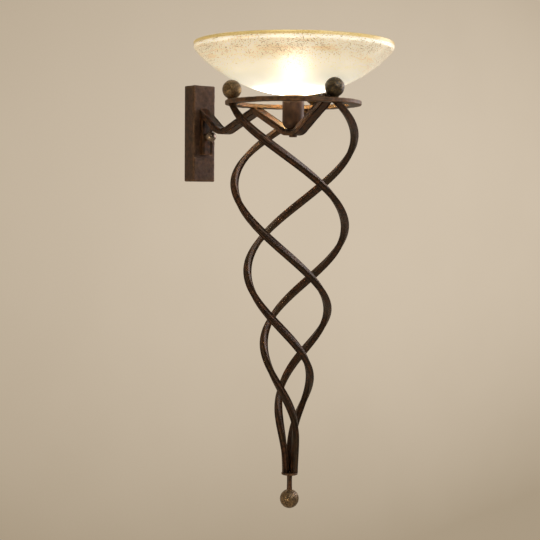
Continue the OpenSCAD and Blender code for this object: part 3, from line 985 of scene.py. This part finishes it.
@dataclass(frozen=True)
class WallMount:
    """The plate on the wall with the hidden strap, stud and nuts, and the ball nut."""

    width: float = 0.058
    height: float = 0.212
    sheet: float = 0.0025
    corner: float = 0.003
    net: float = 0.0026
    stud_r: float = 0.00485
    stud_pitch: float = 0.0015875
    ball_r: float = 0.01175
    collar_r: float = 0.007755
    collar_round: float = 0.0008
    screw_r: float = 0.002
    screw_foot: float = 0.0025

    def build(self) -> None:
        """Makes and places every piece of the wall mount."""
        self._plate()
        self._stud()
        self._ball_nut()
        self._ground_screw()
        dress("mounting_strap", ZINC)
        dress("stud_lock_nut", BRASS)

    def _plate(self) -> None:
        """Forges the plate as an open box with soft, uneven edges."""
        shape = bmesh.new()
        middle = Vector((0, -LAYOUT.plate_d / 2, 0))
        size = Matrix.Diagonal((self.width, LAYOUT.plate_d, self.height, 1.0))
        bmesh.ops.create_cube(shape, size=1.0, matrix=Matrix.Translation(middle) @ size)
        back = [f for f in shape.faces if f.normal.y > 0.9]
        bmesh.ops.delete(shape, geom=back, context="FACES_ONLY")
        round_corners(shape, self.corner, 3)
        for axis in range(3):
            self._subdivide_along(shape, axis)
        close_up(shape)
        if sum(f.normal.dot(f.calc_center_median() - middle) for f in shape.faces) < 0:
            bmesh.ops.reverse_faces(shape, faces=shape.faces[:])
        Hammer(0.0105, 0.0004, 0.0009, 3.1, 0.0006).beat(shape, lambda p: unit((-p.y - 0.003) / 0.004))
        mark_wear(shape, 0.9)
        plate = deliver(shape, Piece("wall_plate_forged", "wall_plate"), PLATE_IRON)
        wall = plate.modifiers.new("sheet", "SOLIDIFY")
        wall.thickness = self.sheet
        wall.offset = -1.0

    def _subdivide_along(self, shape: Mesh, axis: int) -> None:
        """Cuts the long edges that run along one axis into short ones.

        Args:
            shape: The shape to cut.
            axis: 0 for X, 1 for Y or 2 for Z.
        """
        runs = [e for e in shape.edges if e.calc_length() > 2 * self.net
                and abs((e.verts[1].co - e.verts[0].co)[axis]) > 0.999 * e.calc_length()]
        cuts = round(runs[0].calc_length() / self.net) - 1
        bmesh.ops.subdivide_edges(shape, edges=runs, cuts=cuts, use_grid_fill=True)

    def _stud(self) -> None:
        """Turns the stud and rolls its fine thread."""
        low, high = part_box("mounting_stud")
        shape = threaded_rod(self.stud_r, high.y - low.y, self.stud_pitch, 0.0007, 0.0006, 6)
        deliver(shape, Piece("stud_threaded", "mounting_stud"), BRASS, LAYOUT.from_wall())

    def _ball_nut(self) -> None:
        """Turns the ball nut with its collar."""
        front = LAYOUT.plate_d + LAYOUT.arm_t
        low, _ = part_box("ball_nut")
        centre = -low.y - self.ball_r - front
        join = math.degrees(math.acos(self.collar_r / self.ball_r))
        edge = self.collar_round
        outline = [(0, 0), *arc((self.collar_r - edge, edge), edge, -90, 0, 3),
                   *arc((0, centre), self.ball_r, -join, 90, 30)]
        shape = turned(stepped(outline, 0.001), 56)
        Hammer(0.004, 0.00018, 0.0001, 8.2).beat(shape, above_foot)
        mark_wear(shape, 0.5, 1)
        deliver(shape, Piece("ball_nut_turned", "ball_nut"), NUT_IRON, LAYOUT.from_wall(front))

    def _ground_screw(self) -> None:
        """Makes the green earth screw with its hexagon head."""
        low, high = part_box("ground_screw")
        shape = bmesh.new()
        bmesh.ops.create_circle(shape, cap_ends=True, radius=(high.x - low.x) / 2, segments=6,
                                matrix=Matrix.Translation((0, 0, self.screw_foot)))
        _, top = drawn_out(shape, shape.faces[:])
        bmesh.ops.translate(shape, verts=top, vec=(0, 0, high.y - low.y - self.screw_foot))
        bmesh.ops.recalc_face_normals(shape, faces=shape.faces[:])
        round_corners(shape, 0.0004, 2, 50.0)
        bmesh.ops.create_cone(shape, cap_ends=True, segments=24, radius1=self.screw_r, radius2=self.screw_r,
                              depth=self.screw_foot, matrix=Matrix.Translation((0, 0, self.screw_foot / 2)))
        place = Matrix.Translation((0.0, 0.0, (low.z + high.z) / 2)) @ Matrix.Rotation(math.pi / 2, 4, "X")
        deliver(shape, Piece("ground_screw_hex", "ground_screw"), GREEN_SCREW, place)


@dataclass(frozen=True)
class Bend:
    """One bend of the arm, drawn in (distance from the wall, height)."""

    centre: Point2
    radius: float
    turn: int


@dataclass(frozen=True)
class BentArm:
    """The flat bar that is bent flatwise from the wall tab to the tip in the ring."""

    tab_below: float = 0.040
    rise: float = 0.0075
    dip_out: float = 0.111
    dip_drop: float = 0.051
    dip_r: float = 0.044
    crest_out: float = 0.224
    crest_r: float = 0.014
    seat_r: float = 0.025
    seat_l: float = 0.018
    seat_drop: float = 0.0485
    tip_above: float = 0.009
    tip_spare: float = 0.022
    tip_gap: float = 0.0009
    mitre_run: float = 0.006
    step: float = 0.0024

    @property
    def bends(self) -> tuple[Bend, ...]:
        """The bends after the sharp corner at the top of the wall tab.

        Returns:
            The bends in order, from the wall to the cup's far side.
        """
        half = LAYOUT.arm_t / 2
        seat_z = LAYOUT.ring_z - self.seat_drop - half + self.seat_r
        return (
            Bend((self.dip_out, LAYOUT.ring_z - self.dip_drop + half + self.dip_r), self.dip_r, 1),
            Bend((self.crest_out, LAYOUT.ring_z - half - self.crest_r), self.crest_r, -1),
            Bend((LAYOUT.reach - self.seat_l / 2, seat_z), self.seat_r, 1),
            Bend((LAYOUT.reach + self.seat_l / 2, seat_z), self.seat_r, 1),
        )

    @property
    def corner(self) -> Bend:
        """The corner over the tab, as a bend of half the bar's thickness about its outer edge."""
        return Bend((LAYOUT.plate_d, LAYOUT.ring_z + self.rise), LAYOUT.arm_t / 2, 1)

    @property
    def tip_foot(self) -> Point2:
        """Where the underside of the tip meets the ring's inner edge."""
        return LAYOUT.reach + LAYOUT.ring_in, LAYOUT.ring_top - 0.001

    def build(self) -> None:
        """Bends, trims and beats the bar."""
        shape = bmesh.new()
        foot = Vector((0.0, -LAYOUT.plate_d - LAYOUT.arm_t / 2, LAYOUT.stud_z - self.tab_below))
        bmesh.ops.create_grid(shape, x_segments=9, y_segments=4, size=0.5)
        bmesh.ops.scale(shape, vec=(LAYOUT.arm_w, LAYOUT.arm_t, 1.0), verts=shape.verts[:])
        bmesh.ops.translate(shape, vec=foot, verts=shape.verts[:])
        heading = self._heading(self.corner, self.bends[0])
        end = self._mitre(shape, shape.faces[:], heading)
        for bend, after in zip(self.bends, (*self.bends[1:], Bend(self.tip_foot, -LAYOUT.arm_t / 2, 1))):
            leave = self._heading(bend, after)
            end = self._run(shape, end, heading, self._on_bend(bend, heading), self._along(heading))
            end = self._turn(shape, end, bend, leave - heading)
            heading = leave
        along = self._along(heading)
        self._run(shape, end, heading, self._point(self.tip_foot) + self.tip_spare * along, along)
        close_up(shape)
        self._trim(shape)
        round_corners(shape, 0.0012, 2, 65.0, lambda edge: edge.calc_face_angle_signed(0.0) > 0.0)
        bmesh.ops.triangulate(shape, faces=[f for f in shape.faces if len(f.verts) > 8])
        Hammer(0.0115, 0.0004, 0.0005, 5.4, 0.0004).beat(shape)
        mark_wear(shape, 0.75)
        deliver(shape, Piece("arm_forged", "arm_bar"), FORGED)

    @staticmethod
    def _point(place: Point2) -> Vector:
        """Gives the point in the row frame of a (distance from the wall, height)."""
        return Vector((0.0, -place[0], place[1]))

    @staticmethod
    def _along(heading: float) -> Vector:
        """Gives the direction of a heading in degrees, 0 straight out of the wall and 90 up."""
        return Vector((0.0, -math.cos(math.radians(heading)), math.sin(math.radians(heading))))

    def _on_bend(self, bend: Bend, heading: float) -> Vector:
        """Gives the point of a bend's centre line where the bar has a heading."""
        return self._point(bend.centre) - bend.turn * bend.radius * self._along(heading + 90.0)

    @staticmethod
    def _heading(bend: Bend, after: Bend) -> float:
        """Gives the bar's heading between two bends.

        Args:
            bend: The bend it leaves.
            after: The bend it reaches.

        Returns:
            The heading in degrees.
        """
        span = Vector(after.centre) - Vector(bend.centre)
        offset = after.turn * after.radius - bend.turn * bend.radius
        return math.degrees(math.atan2(span.y, span.x) - math.asin(offset / span.length))

    def _mitre(self, shape: Mesh, end: Faces, heading: float) -> Faces:
        """Runs the tab up and turns it sharply into the first leg.

        Args:
            shape: The bar.
            end: The faces at the tab's lower end.
            heading: The leg's heading in degrees.

        Returns:
            The faces at the end of the leg's first stretch.
        """
        up, along = self._along(90.0), self._along(heading)
        outer = self._point(self.corner.centre)
        under = outer - LAYOUT.arm_t * self._along(heading + 90.0)
        inner = under + along * ((-LAYOUT.plate_d - LAYOUT.arm_t - under.y) / along.y)
        end = self._run(shape, end, 90.0, inner - self.mitre_run * up, up)
        end = self._run(shape, end, 90.0, inner, (outer - inner).cross(Vector((1, 0, 0))))
        return self._run(shape, end, heading, inner + self.mitre_run * along, along)

    def _run(self, shape: Mesh, end: Faces, heading: float, goal: Vector, normal: Vector) -> Faces:
        """Draws the bar's end straight on, in short steps, until it lies in a plane.

        Args:
            shape: The bar.
            end: The faces at its end.
            heading: The bar's heading in degrees.
            goal: A point of the plane.
            normal: The plane's normal.

        Returns:
            The faces at the new end.
        """
        along = self._along(heading)

        def left(v: bmesh.types.BMVert) -> float:
            """Measures how far a point still is from the plane."""
            return (goal - v.co).dot(normal) / along.dot(normal)

        longest = max(left(v) for face in end for v in face.verts)
        steps = max(1, round(longest / self.step)) if longest > 1e-5 else 0
        for k in range(steps):
            end, points = drawn_out(shape, end)
            for v in points:
                v.co += along * (left(v) / (steps - k))
        return end

    def _turn(self, shape: Mesh, end: Faces, bend: Bend, angle: float) -> Faces:
        """Spins the bar's end round a bend.

        Args:
            shape: The bar.
            end: The faces at its end.
            bend: The bend.
            angle: How far the heading turns, in degrees.

        Returns:
            The faces at the new end.
        """
        steps = max(3, math.ceil(abs(math.radians(angle)) * bend.radius / self.step))
        swing = Matrix.Rotation(math.radians(-angle / steps), 3, "X")
        for _ in range(steps):
            end, points = drawn_out(shape, end)
            bmesh.ops.rotate(shape, cent=self._point(bend.centre), matrix=swing, verts=points)
        return end

    def _trim(self, shape: Mesh) -> None:
        """Cuts the tip upright inside the ring and level above it.

        Args:
            shape: The bar.
        """
        slice_off(shape, (0, -LAYOUT.reach - LAYOUT.ring_in + self.tip_gap, 0), (0, -1, 0))
        slice_off(shape, (0, 0, LAYOUT.ring_top + self.tip_above), (0, 0, 1))
        bmesh.ops.recalc_face_normals(shape, faces=shape.faces[:])


@dataclass(frozen=True)
class RingWithBalls:
    """The flat hammered ring with its three balls."""

    ball_r: float = 0.01925
    neck_r: float = 0.0081
    neck: float = 0.0015
    sink: float = 0.00025
    weld: float = 0.0006
    ring_edge: float = 0.0013

    def build(self) -> None:
        """Makes the ring and the balls."""
        self._ring()
        for name, angle in BALL_PLACES:
            # The left ball takes the paler copy, which partly paints the brighter light on it.
            self._ball(name, LAYOUT.first_ball + angle, PALE_LIT_PATINA if name == "left" else PATINA)

    def _ring(self) -> None:
        """Forges the flat band, with edges that wander inwards."""
        low, high, top, edge = LAYOUT.ring_in, LAYOUT.ring_out, LAYOUT.ring_t, self.ring_edge
        outline = stepped([(low, edge), (low + edge, 0), (high - edge, 0), (high, edge), (high, top - edge),
                           (high - edge, top), (low + edge, top), (low, top - edge), (low, edge)], 0.0026)
        shape = turned(outline[:-1], 288, closed=True)
        Hammer(0.0125, 0.0006, 0.0007, 1.3, 0.0006).beat(shape)
        mark_wear(shape, 0.7)
        deliver(shape, Piece("ring_forged", "support_ring"), FORGED, LAYOUT.on_axis(LAYOUT.ring_z))

    def _ball(self, name: str, angle: float, finish: Finish) -> None:
        """Turns one ball on its short neck.

        Args:
            name: The ball's place.
            angle: Its angle round the ring in degrees.
            finish: What it is made of.
        """
        centre = self.neck + self.ball_r - self.sink
        join = math.degrees(math.acos(self.neck_r / self.ball_r))
        weld = self.weld
        outline = [(0.0, 0.0), (self.neck_r + 2 * weld, 0.0), (self.neck_r + weld, weld),
                   (self.neck_r, 0.0016), *arc((0.0, centre), self.ball_r, -join + 4, 90, 44)]
        shape = turned(stepped(outline, 0.0014), 88)
        Hammer(0.0052, 0.00022, 0.00018, angle / 57, 0.0002).beat(shape, above_foot)
        mark_wear(shape, 0.5, 1)
        place = LAYOUT.on_axis(LAYOUT.ring_top, angle) @ Matrix.Translation((LAYOUT.ring_mid, 0.0, 0.0))
        deliver(shape, Piece(f"ball_{name}_patina", f"ring_ball_{name}"), finish, place)


@dataclass(frozen=True)
class SpiralBasket:
    """Three square bars that wind down from the ring and narrow to the tip disc."""

    bar: float = 0.0125
    depth: float = 0.749
    turn: float = 546.0
    lag: float = 26.7
    lead: float = 3.0
    tip_r: float = 0.00972
    hold: float = 2.19
    soft: float = 1.79
    roll: float = 33.0
    tip_roll: float = 18.0
    straight: float = 47.5
    straight_from: float = 0.83
    steps: int = 330
    over_top: float = 0.014
    under_tip: float = 0.012

    def build(self) -> None:
        """Forges the three bars."""
        for name, angle in BALL_PLACES:
            self._bar(name, LAYOUT.first_ball + angle + self.lead)

    def _path(self, u: float) -> Vector:
        """Gives a point on a bar's centre line.

        Args:
            u: Share of the way down, 0 at the ring and 1 at the tip.

        Returns:
            The point, from the torch's axis at the ring's underside.
        """
        inside = unit(u)
        radius = self.tip_r + (LAYOUT.ring_mid - self.tip_r) * (1.0 - inside ** self.hold) ** self.soft
        late = max(0.0, u - self.straight_from) / (1.0 - self.straight_from)
        turn = self.turn * u - self.lag * math.sin(math.pi * inside) ** 2 - self.straight * late ** 2
        return Matrix.Rotation(math.radians(turn), 3, "Z") @ Vector((radius, 0.0, -self.depth * u))

    def _place(self, u: float) -> Matrix:
        """Gives the placement of the bar's section on its centre line.

        Args:
            u: Share of the way down.

        Returns:
            A matrix whose Z axis runs along the bar and whose X axis points outwards.
        """
        point = self._path(u)
        along = (self._path(u + 0.002) - self._path(u - 0.002)).normalized()
        outward = Vector((point.x, point.y, 0.0))
        outward = (outward - along * outward.dot(along)).normalized()
        late = unit((u - self.straight_from) / (1.0 - self.straight_from))
        roll = math.radians(self.roll + (self.tip_roll - self.roll) * late)
        frame_here = Matrix((outward, along.cross(outward), along)).transposed().to_4x4()
        return Matrix.Translation(point) @ frame_here @ Matrix.Rotation(roll, 4, "Z")

    def _bar(self, name: str, angle: float) -> None:
        """Draws one bar along its path and beats it.

        Args:
            name: The bar's place.
            angle: Where it starts round the ring, in degrees.
        """
        shape = bmesh.new()
        here = self._place(-self.over_top)
        bmesh.ops.create_grid(shape, x_segments=4, y_segments=4, size=self.bar / 2, matrix=here)
        end = shape.faces[:]
        for k in range(1, self.steps + 1):
            there = self._place((1.0 + self.over_top + self.under_tip) * k / self.steps - self.over_top)
            end, points = drawn_out(shape, end)
            bmesh.ops.transform(shape, matrix=there @ here.inverted(), verts=points)
            here = there
        bmesh.ops.recalc_face_normals(shape, faces=shape.faces[:])
        round_corners(shape, 0.0009, 2, 60.0, lambda e: len(e.verts[0].link_edges) < 6)
        Hammer(0.0105, 0.00010, 0.00018, angle / 40, 0.00015).beat(shape)
        mark_wear(shape, 0.55, 1)
        slice_off(shape, (0, 0, -0.00005), (0, 0, 1))
        slice_off(shape, (0, 0, -self.depth), (0, 0, -1))
        piece = Piece(f"bar_{name}_forged", f"spiral_bar_{name}")
        deliver(shape, piece, FORGED, LAYOUT.on_axis(LAYOUT.ring_z, angle))


@dataclass(frozen=True)
class TipFinial:
    """The disc, stem and ball at the bottom of the basket."""

    stem_r: float = 0.0055
    ball_r: float = 0.0195
    disc_edge: float = 0.0012
    waist: float = 0.0003
    flat_angle: float = 78.0

    def build(self) -> None:
        """Makes the three pieces of the tip."""
        self._disc()
        self._stem()
        self._ball()

    def _disc(self) -> None:
        """Forges the disc that gathers the bars."""
        foot, radius, thick = girth("tip_disc")
        edge = self.disc_edge
        outline = [(0, 0), (radius - edge, 0), *arc((radius - edge, edge), edge, -90, 0, 3),
                   *arc((radius - edge, thick - edge), edge, 0, 90, 3), (0, thick)]
        shape = turned(stepped(outline, 0.0018), 72)
        Hammer(0.006, 0.00035, 0.0003, 2.2).beat(shape, lambda p: unit(math.hypot(p.x, p.y) / 0.010))
        mark_wear(shape, 0.8, 1)
        deliver(shape, Piece("tip_disc_forged", "tip_disc"), FORGED, LAYOUT.on_axis(foot))

    def _stem(self) -> None:
        """Turns the stem with a slightly waisted middle."""
        foot, _, length = girth("tip_stem")
        top = girth("tip_disc")[0] - foot
        steps = [k / 12 for k in range(13)]
        waist = [(self.stem_r - self.waist * math.sin(math.pi * u), top * (0.35 + 0.65 * u)) for u in steps]
        shape = turned([(0, 0), (self.stem_r, 0), *waist, (self.stem_r, length), (0, length)], 48)
        mark_wear(shape, 0.5, 1)
        deliver(shape, Piece("tip_stem_turned", "tip_stem"), FORGED, LAYOUT.on_axis(foot))

    def _ball(self) -> None:
        """Turns the tip ball with a small flat where the stem enters."""
        centre = girth("tip_ball")[0] + self.ball_r
        outline = arc((0.0, 0.0), self.ball_r, -90, self.flat_angle, 46)
        shape = turned([*outline, (0.0, outline[-1][1])], 88)
        Hammer(0.0055, 0.00026, 0.0002, 6.6, 0.0002).beat(shape)
        mark_wear(shape, 0.5, 1)
        deliver(shape, Piece("tip_ball_patina", "tip_ball"), PALE_LIT_PATINA, LAYOUT.on_axis(centre))


@dataclass(frozen=True)
class CupAndSocket:
    """The cup on the arm with the porcelain socket, its fittings and the ring nut."""

    wall: float = 0.0013
    bottom_round: float = 0.016
    nipple_hole: float = 0.00525
    nipple_r: float = 0.00485
    nipple_pitch: float = 0.00094
    nut_round: float = 0.0012
    shell_wall: float = 0.0006
    shell_lip: float = 0.005
    shell_gap: float = 0.0002

    def build(self) -> None:
        """Makes and dresses every piece between arm and glass."""
        self._cup()
        self._cap_nut()
        self._nipple()
        self._socket()
        self._shell()
        dress("cup_lock_nut", BRASS)
        dress("socket_contact", BRASS)
        dress("cup_gasket", GASKET)
        dress("shade_ring", ENAMEL)

    def _cup(self) -> None:
        """Spins the cup from sheet, with a bead at its mouth."""
        foot, radius, height = girth("socket_cup")
        bend, mouth = (radius - self.bottom_round, self.bottom_round), height - 0.0006
        outline = [(self.nipple_hole, 0.0), *arc(bend, self.bottom_round, -90, 0, 12), (radius, mouth),
                   *arc((radius - self.wall / 2, mouth), self.wall / 2, 0, 180, 6)[1:],
                   *arc(bend, self.bottom_round - self.wall, 0, -90, 12), (self.nipple_hole, self.wall)]
        shape = turned(stepped(outline, 0.004), 96, closed=True)
        mark_wear(shape, 0.7, 1)
        deliver(shape, Piece("cup_spun", "socket_cup"), CUP_COAT, LAYOUT.on_axis(foot))

    def _cap_nut(self) -> None:
        """Turns the low round nut under the arm."""
        foot, radius, height = girth("nipple_cap_nut")
        edge = arc((radius - self.nut_round, self.nut_round), self.nut_round, -90, 0, 4)
        shape = turned([(0, 0), *edge, (radius, height), (self.nipple_r, height)], 48)
        mark_wear(shape, 0.8, 1)
        deliver(shape, Piece("cap_nut_turned", "nipple_cap_nut"), CUP_COAT, LAYOUT.on_axis(foot))

    def _nipple(self) -> None:
        """Turns the threaded tube that joins arm, cup and socket."""
        foot, _, length = girth("cup_nipple")
        shape = threaded_rod(self.nipple_r, length, self.nipple_pitch, 0.0004, 0.0005, 4)
        deliver(shape, Piece("nipple_threaded", "cup_nipple"), BRASS, LAYOUT.on_axis(foot))

    def _socket(self) -> None:
        """Turns the porcelain socket with its well and the coarse thread for the ring nut."""
        foot, radius, height = girth("socket_body")
        shell_foot, shell_r, _ = girth("socket_shell")
        well, floor = shell_r + self.shell_gap, shell_foot - foot
        outline = stepped([(0, 0), (radius - 0.006, 0), *arc((radius - 0.006, 0.003), 0.003, -90, 0, 5),
                           (radius - 0.003, 0.012), (radius, 0.016), (radius, height - 0.001),
                           *arc((radius - 0.001, height - 0.001), 0.001, 0, 90, 3)[1:],
                           (well + 0.0008, height), (well, height - 0.0008), (well, floor),
                           (0, floor)], 0.0006)
        shape = turned(outline, 80)
        thread(shape, radius, 0.0025, 0.0006, height - 0.0135, height - 0.0015)
        deliver(shape, Piece("socket_porcelain", "socket_body"), PORCELAIN, LAYOUT.on_axis(foot))

    def _shell(self) -> None:
        """Rolls the screw shell, whose thread meets the bulb's."""
        foot, radius, height = girth("socket_shell")
        inside, pitch = radius - self.shell_wall, LAYOUT.thread_pitch
        lip, floor = radius - self.shell_lip, self.shell_wall
        wall = stepped([(radius, 0), (radius, height), (inside, height), (inside, floor)], pitch / 9)
        shape = turned([(lip, 0), *wall, (lip, floor)], 72, closed=True)
        for level in (inside, radius):
            thread(shape, level, pitch, LAYOUT.thread_depth, floor, height)
        deliver(shape, Piece("shell_rolled", "socket_shell"), BRASS, LAYOUT.on_axis(foot))


@dataclass(frozen=True)
class GlassBowl:
    """The open bowl on the three balls."""

    sphere_r: float = 0.268
    glass: float = 0.005
    hole_r: float = 0.021
    lip_bend: float = 0.010
    uneven: float = 0.00035

    def build(self) -> None:
        """Blows the bowl, with a soft unevenness in its wall."""
        foot, radius, height = girth("glass_bowl")
        half = self.glass / 2
        mid, lip_r = self.sphere_r - half, radius - half
        centre = foot + math.sqrt(self.sphere_r ** 2 - self.hole_r ** 2)
        lip_c = lip_r - self.lip_bend
        reach = mid - self.lip_bend
        lip_z = centre - math.sqrt(reach ** 2 - lip_c ** 2)
        leave = math.degrees(math.asin(lip_c / reach))
        start = math.degrees(math.asin(self.hole_r / mid))
        outline = [
            *arc((0.0, centre), mid + half, start - 90, leave - 90, 56),
            *arc((lip_c, lip_z), self.lip_bend + half, leave - 90, 0, 10)[1:],
            *arc((lip_r, foot + height - half), half, 0, 180, 10),
            *arc((lip_c, lip_z), self.lip_bend - half, 0, leave - 90, 10),
            *arc((0.0, centre), mid - half, leave - 90, start - 90, 56)[1:],
        ]
        outline = stepped([(max(r, self.hole_r), z) for r, z in outline], 0.004)
        shape = turned(outline, 144, closed=True)
        shape.normal_update()
        for v in shape.verts:
            v.co -= v.normal * self.uneven * (0.5 + 0.5 * noise.noise(v.co * 38.0))
        piece = Piece("bowl_blown", "glass_bowl", sharp_angle=math.radians(60))
        deliver(shape, piece, BOWL_GLASS, LAYOUT.on_axis())


@dataclass(frozen=True)
class LampBulb:
    """The screw-in bulb, which turns and rises as it is unscrewed."""

    base_wall: float = 0.0004
    base_round: float = 0.003
    turns_of_thread: float = 4.6
    neck_r: float = 0.0125
    neck_l: float = 0.006

    def build(self) -> None:
        """Makes and dresses the bulb's pieces."""
        self._base()
        self._glass()
        dress("bulb_contact", SOLDER)
        dress("bulb_insulator", BLACK_GLASS)
        dress("bulb_stem", MOUNT_GLASS)
        dress("bulb_filament", GLOWING_WIRE)

    def _base(self) -> None:
        """Rolls the screw base with its thread."""
        foot, radius, height = girth("bulb_base")
        pitch, edge = LAYOUT.thread_pitch, self.base_round
        inner = radius - self.base_wall - LAYOUT.thread_depth
        outline = [(0, 0), (radius - edge, 0), *stepped([(radius, edge), (radius, height)], pitch / 9),
                   (inner, height), (inner, edge + self.base_wall), (0, 2 * self.base_wall)]
        shape = turned(outline, 72)
        shell = girth("socket_shell")[0] + CupAndSocket.shell_wall - foot
        start = shell + pitch * math.ceil((edge - shell) / pitch)
        thread(shape, radius, pitch, LAYOUT.thread_depth, start, start + pitch * self.turns_of_thread)
        deliver(shape, Piece("bulb_base_rolled", "bulb_base", Body.BULB), BASE_METAL, LAYOUT.on_axis(foot))

    def _glass(self) -> None:
        """Blows the frosted bulb."""
        foot, radius, height = girth("bulb_glass")
        neck, crown = self.neck_r, height - radius
        swell, rise = radius - neck, crown - self.neck_l
        steps = [k / 24 for k in range(25)]
        shoulder = [(neck + swell * u * u * (3 - 2 * u), self.neck_l + rise * u) for u in steps]
        shape = turned([(0, 0), (neck - 0.001, 0), (neck, 0.001), *shoulder,
                        *arc((0, crown), radius, 3, 90, 26)], 80)
        deliver(shape, Piece("bulb_frosted", "bulb_glass", Body.BULB), FROST, LAYOUT.on_axis(foot))


# Setting --------------------------------------------------------------------


@dataclass(frozen=True)
class StudioWall:
    """The plain painted wall far behind the light, and the pale floor far below it."""

    distance: float = 3.4
    floor_z: float = -3.2
    reach: float = 14.0
    # Painted light: the paint is lightest at one spot right of the light and turns to the painted shade
    # colour away from it.
    painted_light_spot: tuple[float, float, float] = (4.0, 3.4, -0.125)
    painted_light_falloff: tuple[float, float, float] = (0.218, 0.0, 0.423)
    paint: Colour = (0.640, 0.540, 0.418)
    shade: Colour = (0.400, 0.322, 0.226)

    def build(self) -> None:
        """Makes the wall and the floor as stage pieces."""
        wall = Matrix.Translation((0, self.distance, 0)) @ Matrix.Rotation(math.pi / 2, 4, "X")
        floor = Matrix.Translation((0, 0, self.floor_z))
        for name, place in (("stage_wall", wall), ("stage_floor", floor)):
            shape = bmesh.new()
            bmesh.ops.create_grid(shape, x_segments=2, y_segments=2, size=self.reach / 2, matrix=place)
            made = meshed(name, shape, self._paint_with_painted_light())
            made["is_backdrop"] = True

    def _paint_with_painted_light(self) -> bpy.types.Material:
        """Builds the matt paint with a painted pool of light, brightest right of the light and falling off
        into painted shade.

        Returns:
            The material.
        """
        bench = NodeBench("wall_paint_with_painted_light")
        # The squared distance from the painted bright spot moves the colour from the lit paint to the painted
        # shade.
        away = bench.away(self.painted_light_falloff, self.painted_light_spot)
        drift = bench.spread(bench.clouds(0.9, 3.0), 0.3, 0.7, -0.03, 0.03)
        grain = bench.spread(bench.clouds(90.0, 4.0), 0.3, 0.7, -0.015, 0.015)
        share = bench.plus(bench.times(away, away), bench.plus(drift, grain))
        colour = bench.ramp(share, (0.0, self.paint), (1.0, self.shade))
        bench.shade(Emission_Color=colour, Emission_Strength=1.0, Base_Color=(0.0, 0.0, 0.0, 1.0),
                    Roughness=1.0, Specular_IOR_Level=0.0)
        return bench.material


@dataclass(frozen=True)
class SoftLight:
    """One soft rectangular light."""

    name: str
    place: tuple[float, float, float]
    goal: tuple[float, float, float]
    size: float
    power: float
    colour: Colour

    def build(self) -> None:
        """Hangs the light and aims it."""
        data = bpy.data.lights.new(self.name, "AREA")
        data.shape = "SQUARE"
        data.size = self.size
        data.energy = self.power
        data.color = self.colour
        aim = Vector(self.goal) - Vector(self.place)
        turn = aim.to_track_quat("-Z", "Y").to_matrix().to_4x4()
        linked(self.name, data).matrix_world = Matrix.Translation(self.place) @ turn


@dataclass(frozen=True)
class PhotoCamera:
    """The camera, where the photograph's was."""

    place: tuple[float, float, float] = (-1.536, -2.206, -0.124)
    heading: tuple[float, float] = (0.62217, 0.78286)
    pitch: float = math.radians(-3.83)
    roll: float = 0.009
    lens: float = 79.27

    def build(self) -> None:
        """Sets up the camera."""
        data = bpy.data.cameras.new("photo_camera")
        data.lens = self.lens
        data.sensor_width = 36.0
        data.clip_end = 60.0
        camera = linked("photo_camera", data)
        level = math.cos(self.pitch) * Vector(self.heading)
        forward = Vector((level.x, level.y, math.sin(self.pitch))).normalized()
        right = forward.cross(Vector((0, 0, 1))).normalized()
        up = right.cross(forward)
        side = right * math.cos(self.roll) + up * math.sin(self.roll)
        top = up * math.cos(self.roll) - right * math.sin(self.roll)
        pose = Matrix((side, top, -forward)).transposed().to_4x4()
        camera.matrix_world = Matrix.Translation(self.place) @ pose
        bpy.context.scene.camera = camera


@dataclass(frozen=True)
class FootGlow:
    """The lamp's own light that falls from the bowl's foot onto the ring and the arm."""

    place: tuple[float, float, float] = (0.047, -0.286, 0.064)
    size: float = 0.008
    power: float = 0.20
    colour: Colour = (1.0, 0.60, 0.18)

    def build(self) -> None:
        """Hangs the light under the glass."""
        data = bpy.data.lights.new("foot_glow", "POINT")
        data.shadow_soft_size = self.size
        data.energy = self.power
        data.color = self.colour
        lamp = linked("foot_glow", data)
        lamp.location = self.place
        lamp.visible_camera = False


@dataclass(frozen=True)
class SoftRoom:
    """The room's even light, its lamps and the plain colour handling."""

    colour: Colour = (0.80, 0.68, 0.54)
    strength: float = 0.18
    lamps: tuple[SoftLight | FootGlow, ...] = (
        SoftLight("front", (0.4, -2.8, 1.4), (0.0, -0.3, -0.3), 1.6, 50.0, (1.0, 0.93, 0.83)),
        SoftLight("left", (-1.9, -0.65, -0.75), (0.0, -0.344, -0.3), 0.9, 12.0, (1.0, 0.80, 0.50)),
        SoftLight("right", (1.9, -0.7, 0.35), (0.0, -0.344, -0.3), 1.3, 25.0, (1.0, 0.90, 0.89)),
        SoftLight("back", (1.4, 1.6, 1.2), (0.0, -0.3, -0.3), 1.4, 7.0, (1.0, 0.97, 0.92)),
        FootGlow(),
    )

    def build(self) -> None:
        """Lights the room."""
        scene = bpy.context.scene
        scene.view_settings.view_transform = "Standard"
        scene.view_settings.look = "None"
        scene.world = bpy.data.worlds.new("soft_room")
        scene.world.use_nodes = True
        ground = scene.world.node_tree.nodes["Background"]
        ground.inputs["Color"].default_value = (*self.colour, 1.0)
        ground.inputs["Strength"].default_value = self.strength
        for lamp in self.lamps:
            lamp.build()


def main(cad_box: Iterable[Vector]) -> None:
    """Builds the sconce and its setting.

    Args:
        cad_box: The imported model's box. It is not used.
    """
    for assembly in (PhotoCamera(), WallMount(), BentArm(), RingWithBalls(), SpiralBasket(), TipFinial(),
                     CupAndSocket(), GlassBowl(), LampBulb(), StudioWall(), SoftRoom()):
        LOG.info("building %s", type(assembly).__name__)
        assembly.build()


if __name__ == "__main__":
    logging.basicConfig(level=logging.INFO, format="%(name)s %(message)s")
    main(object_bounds())
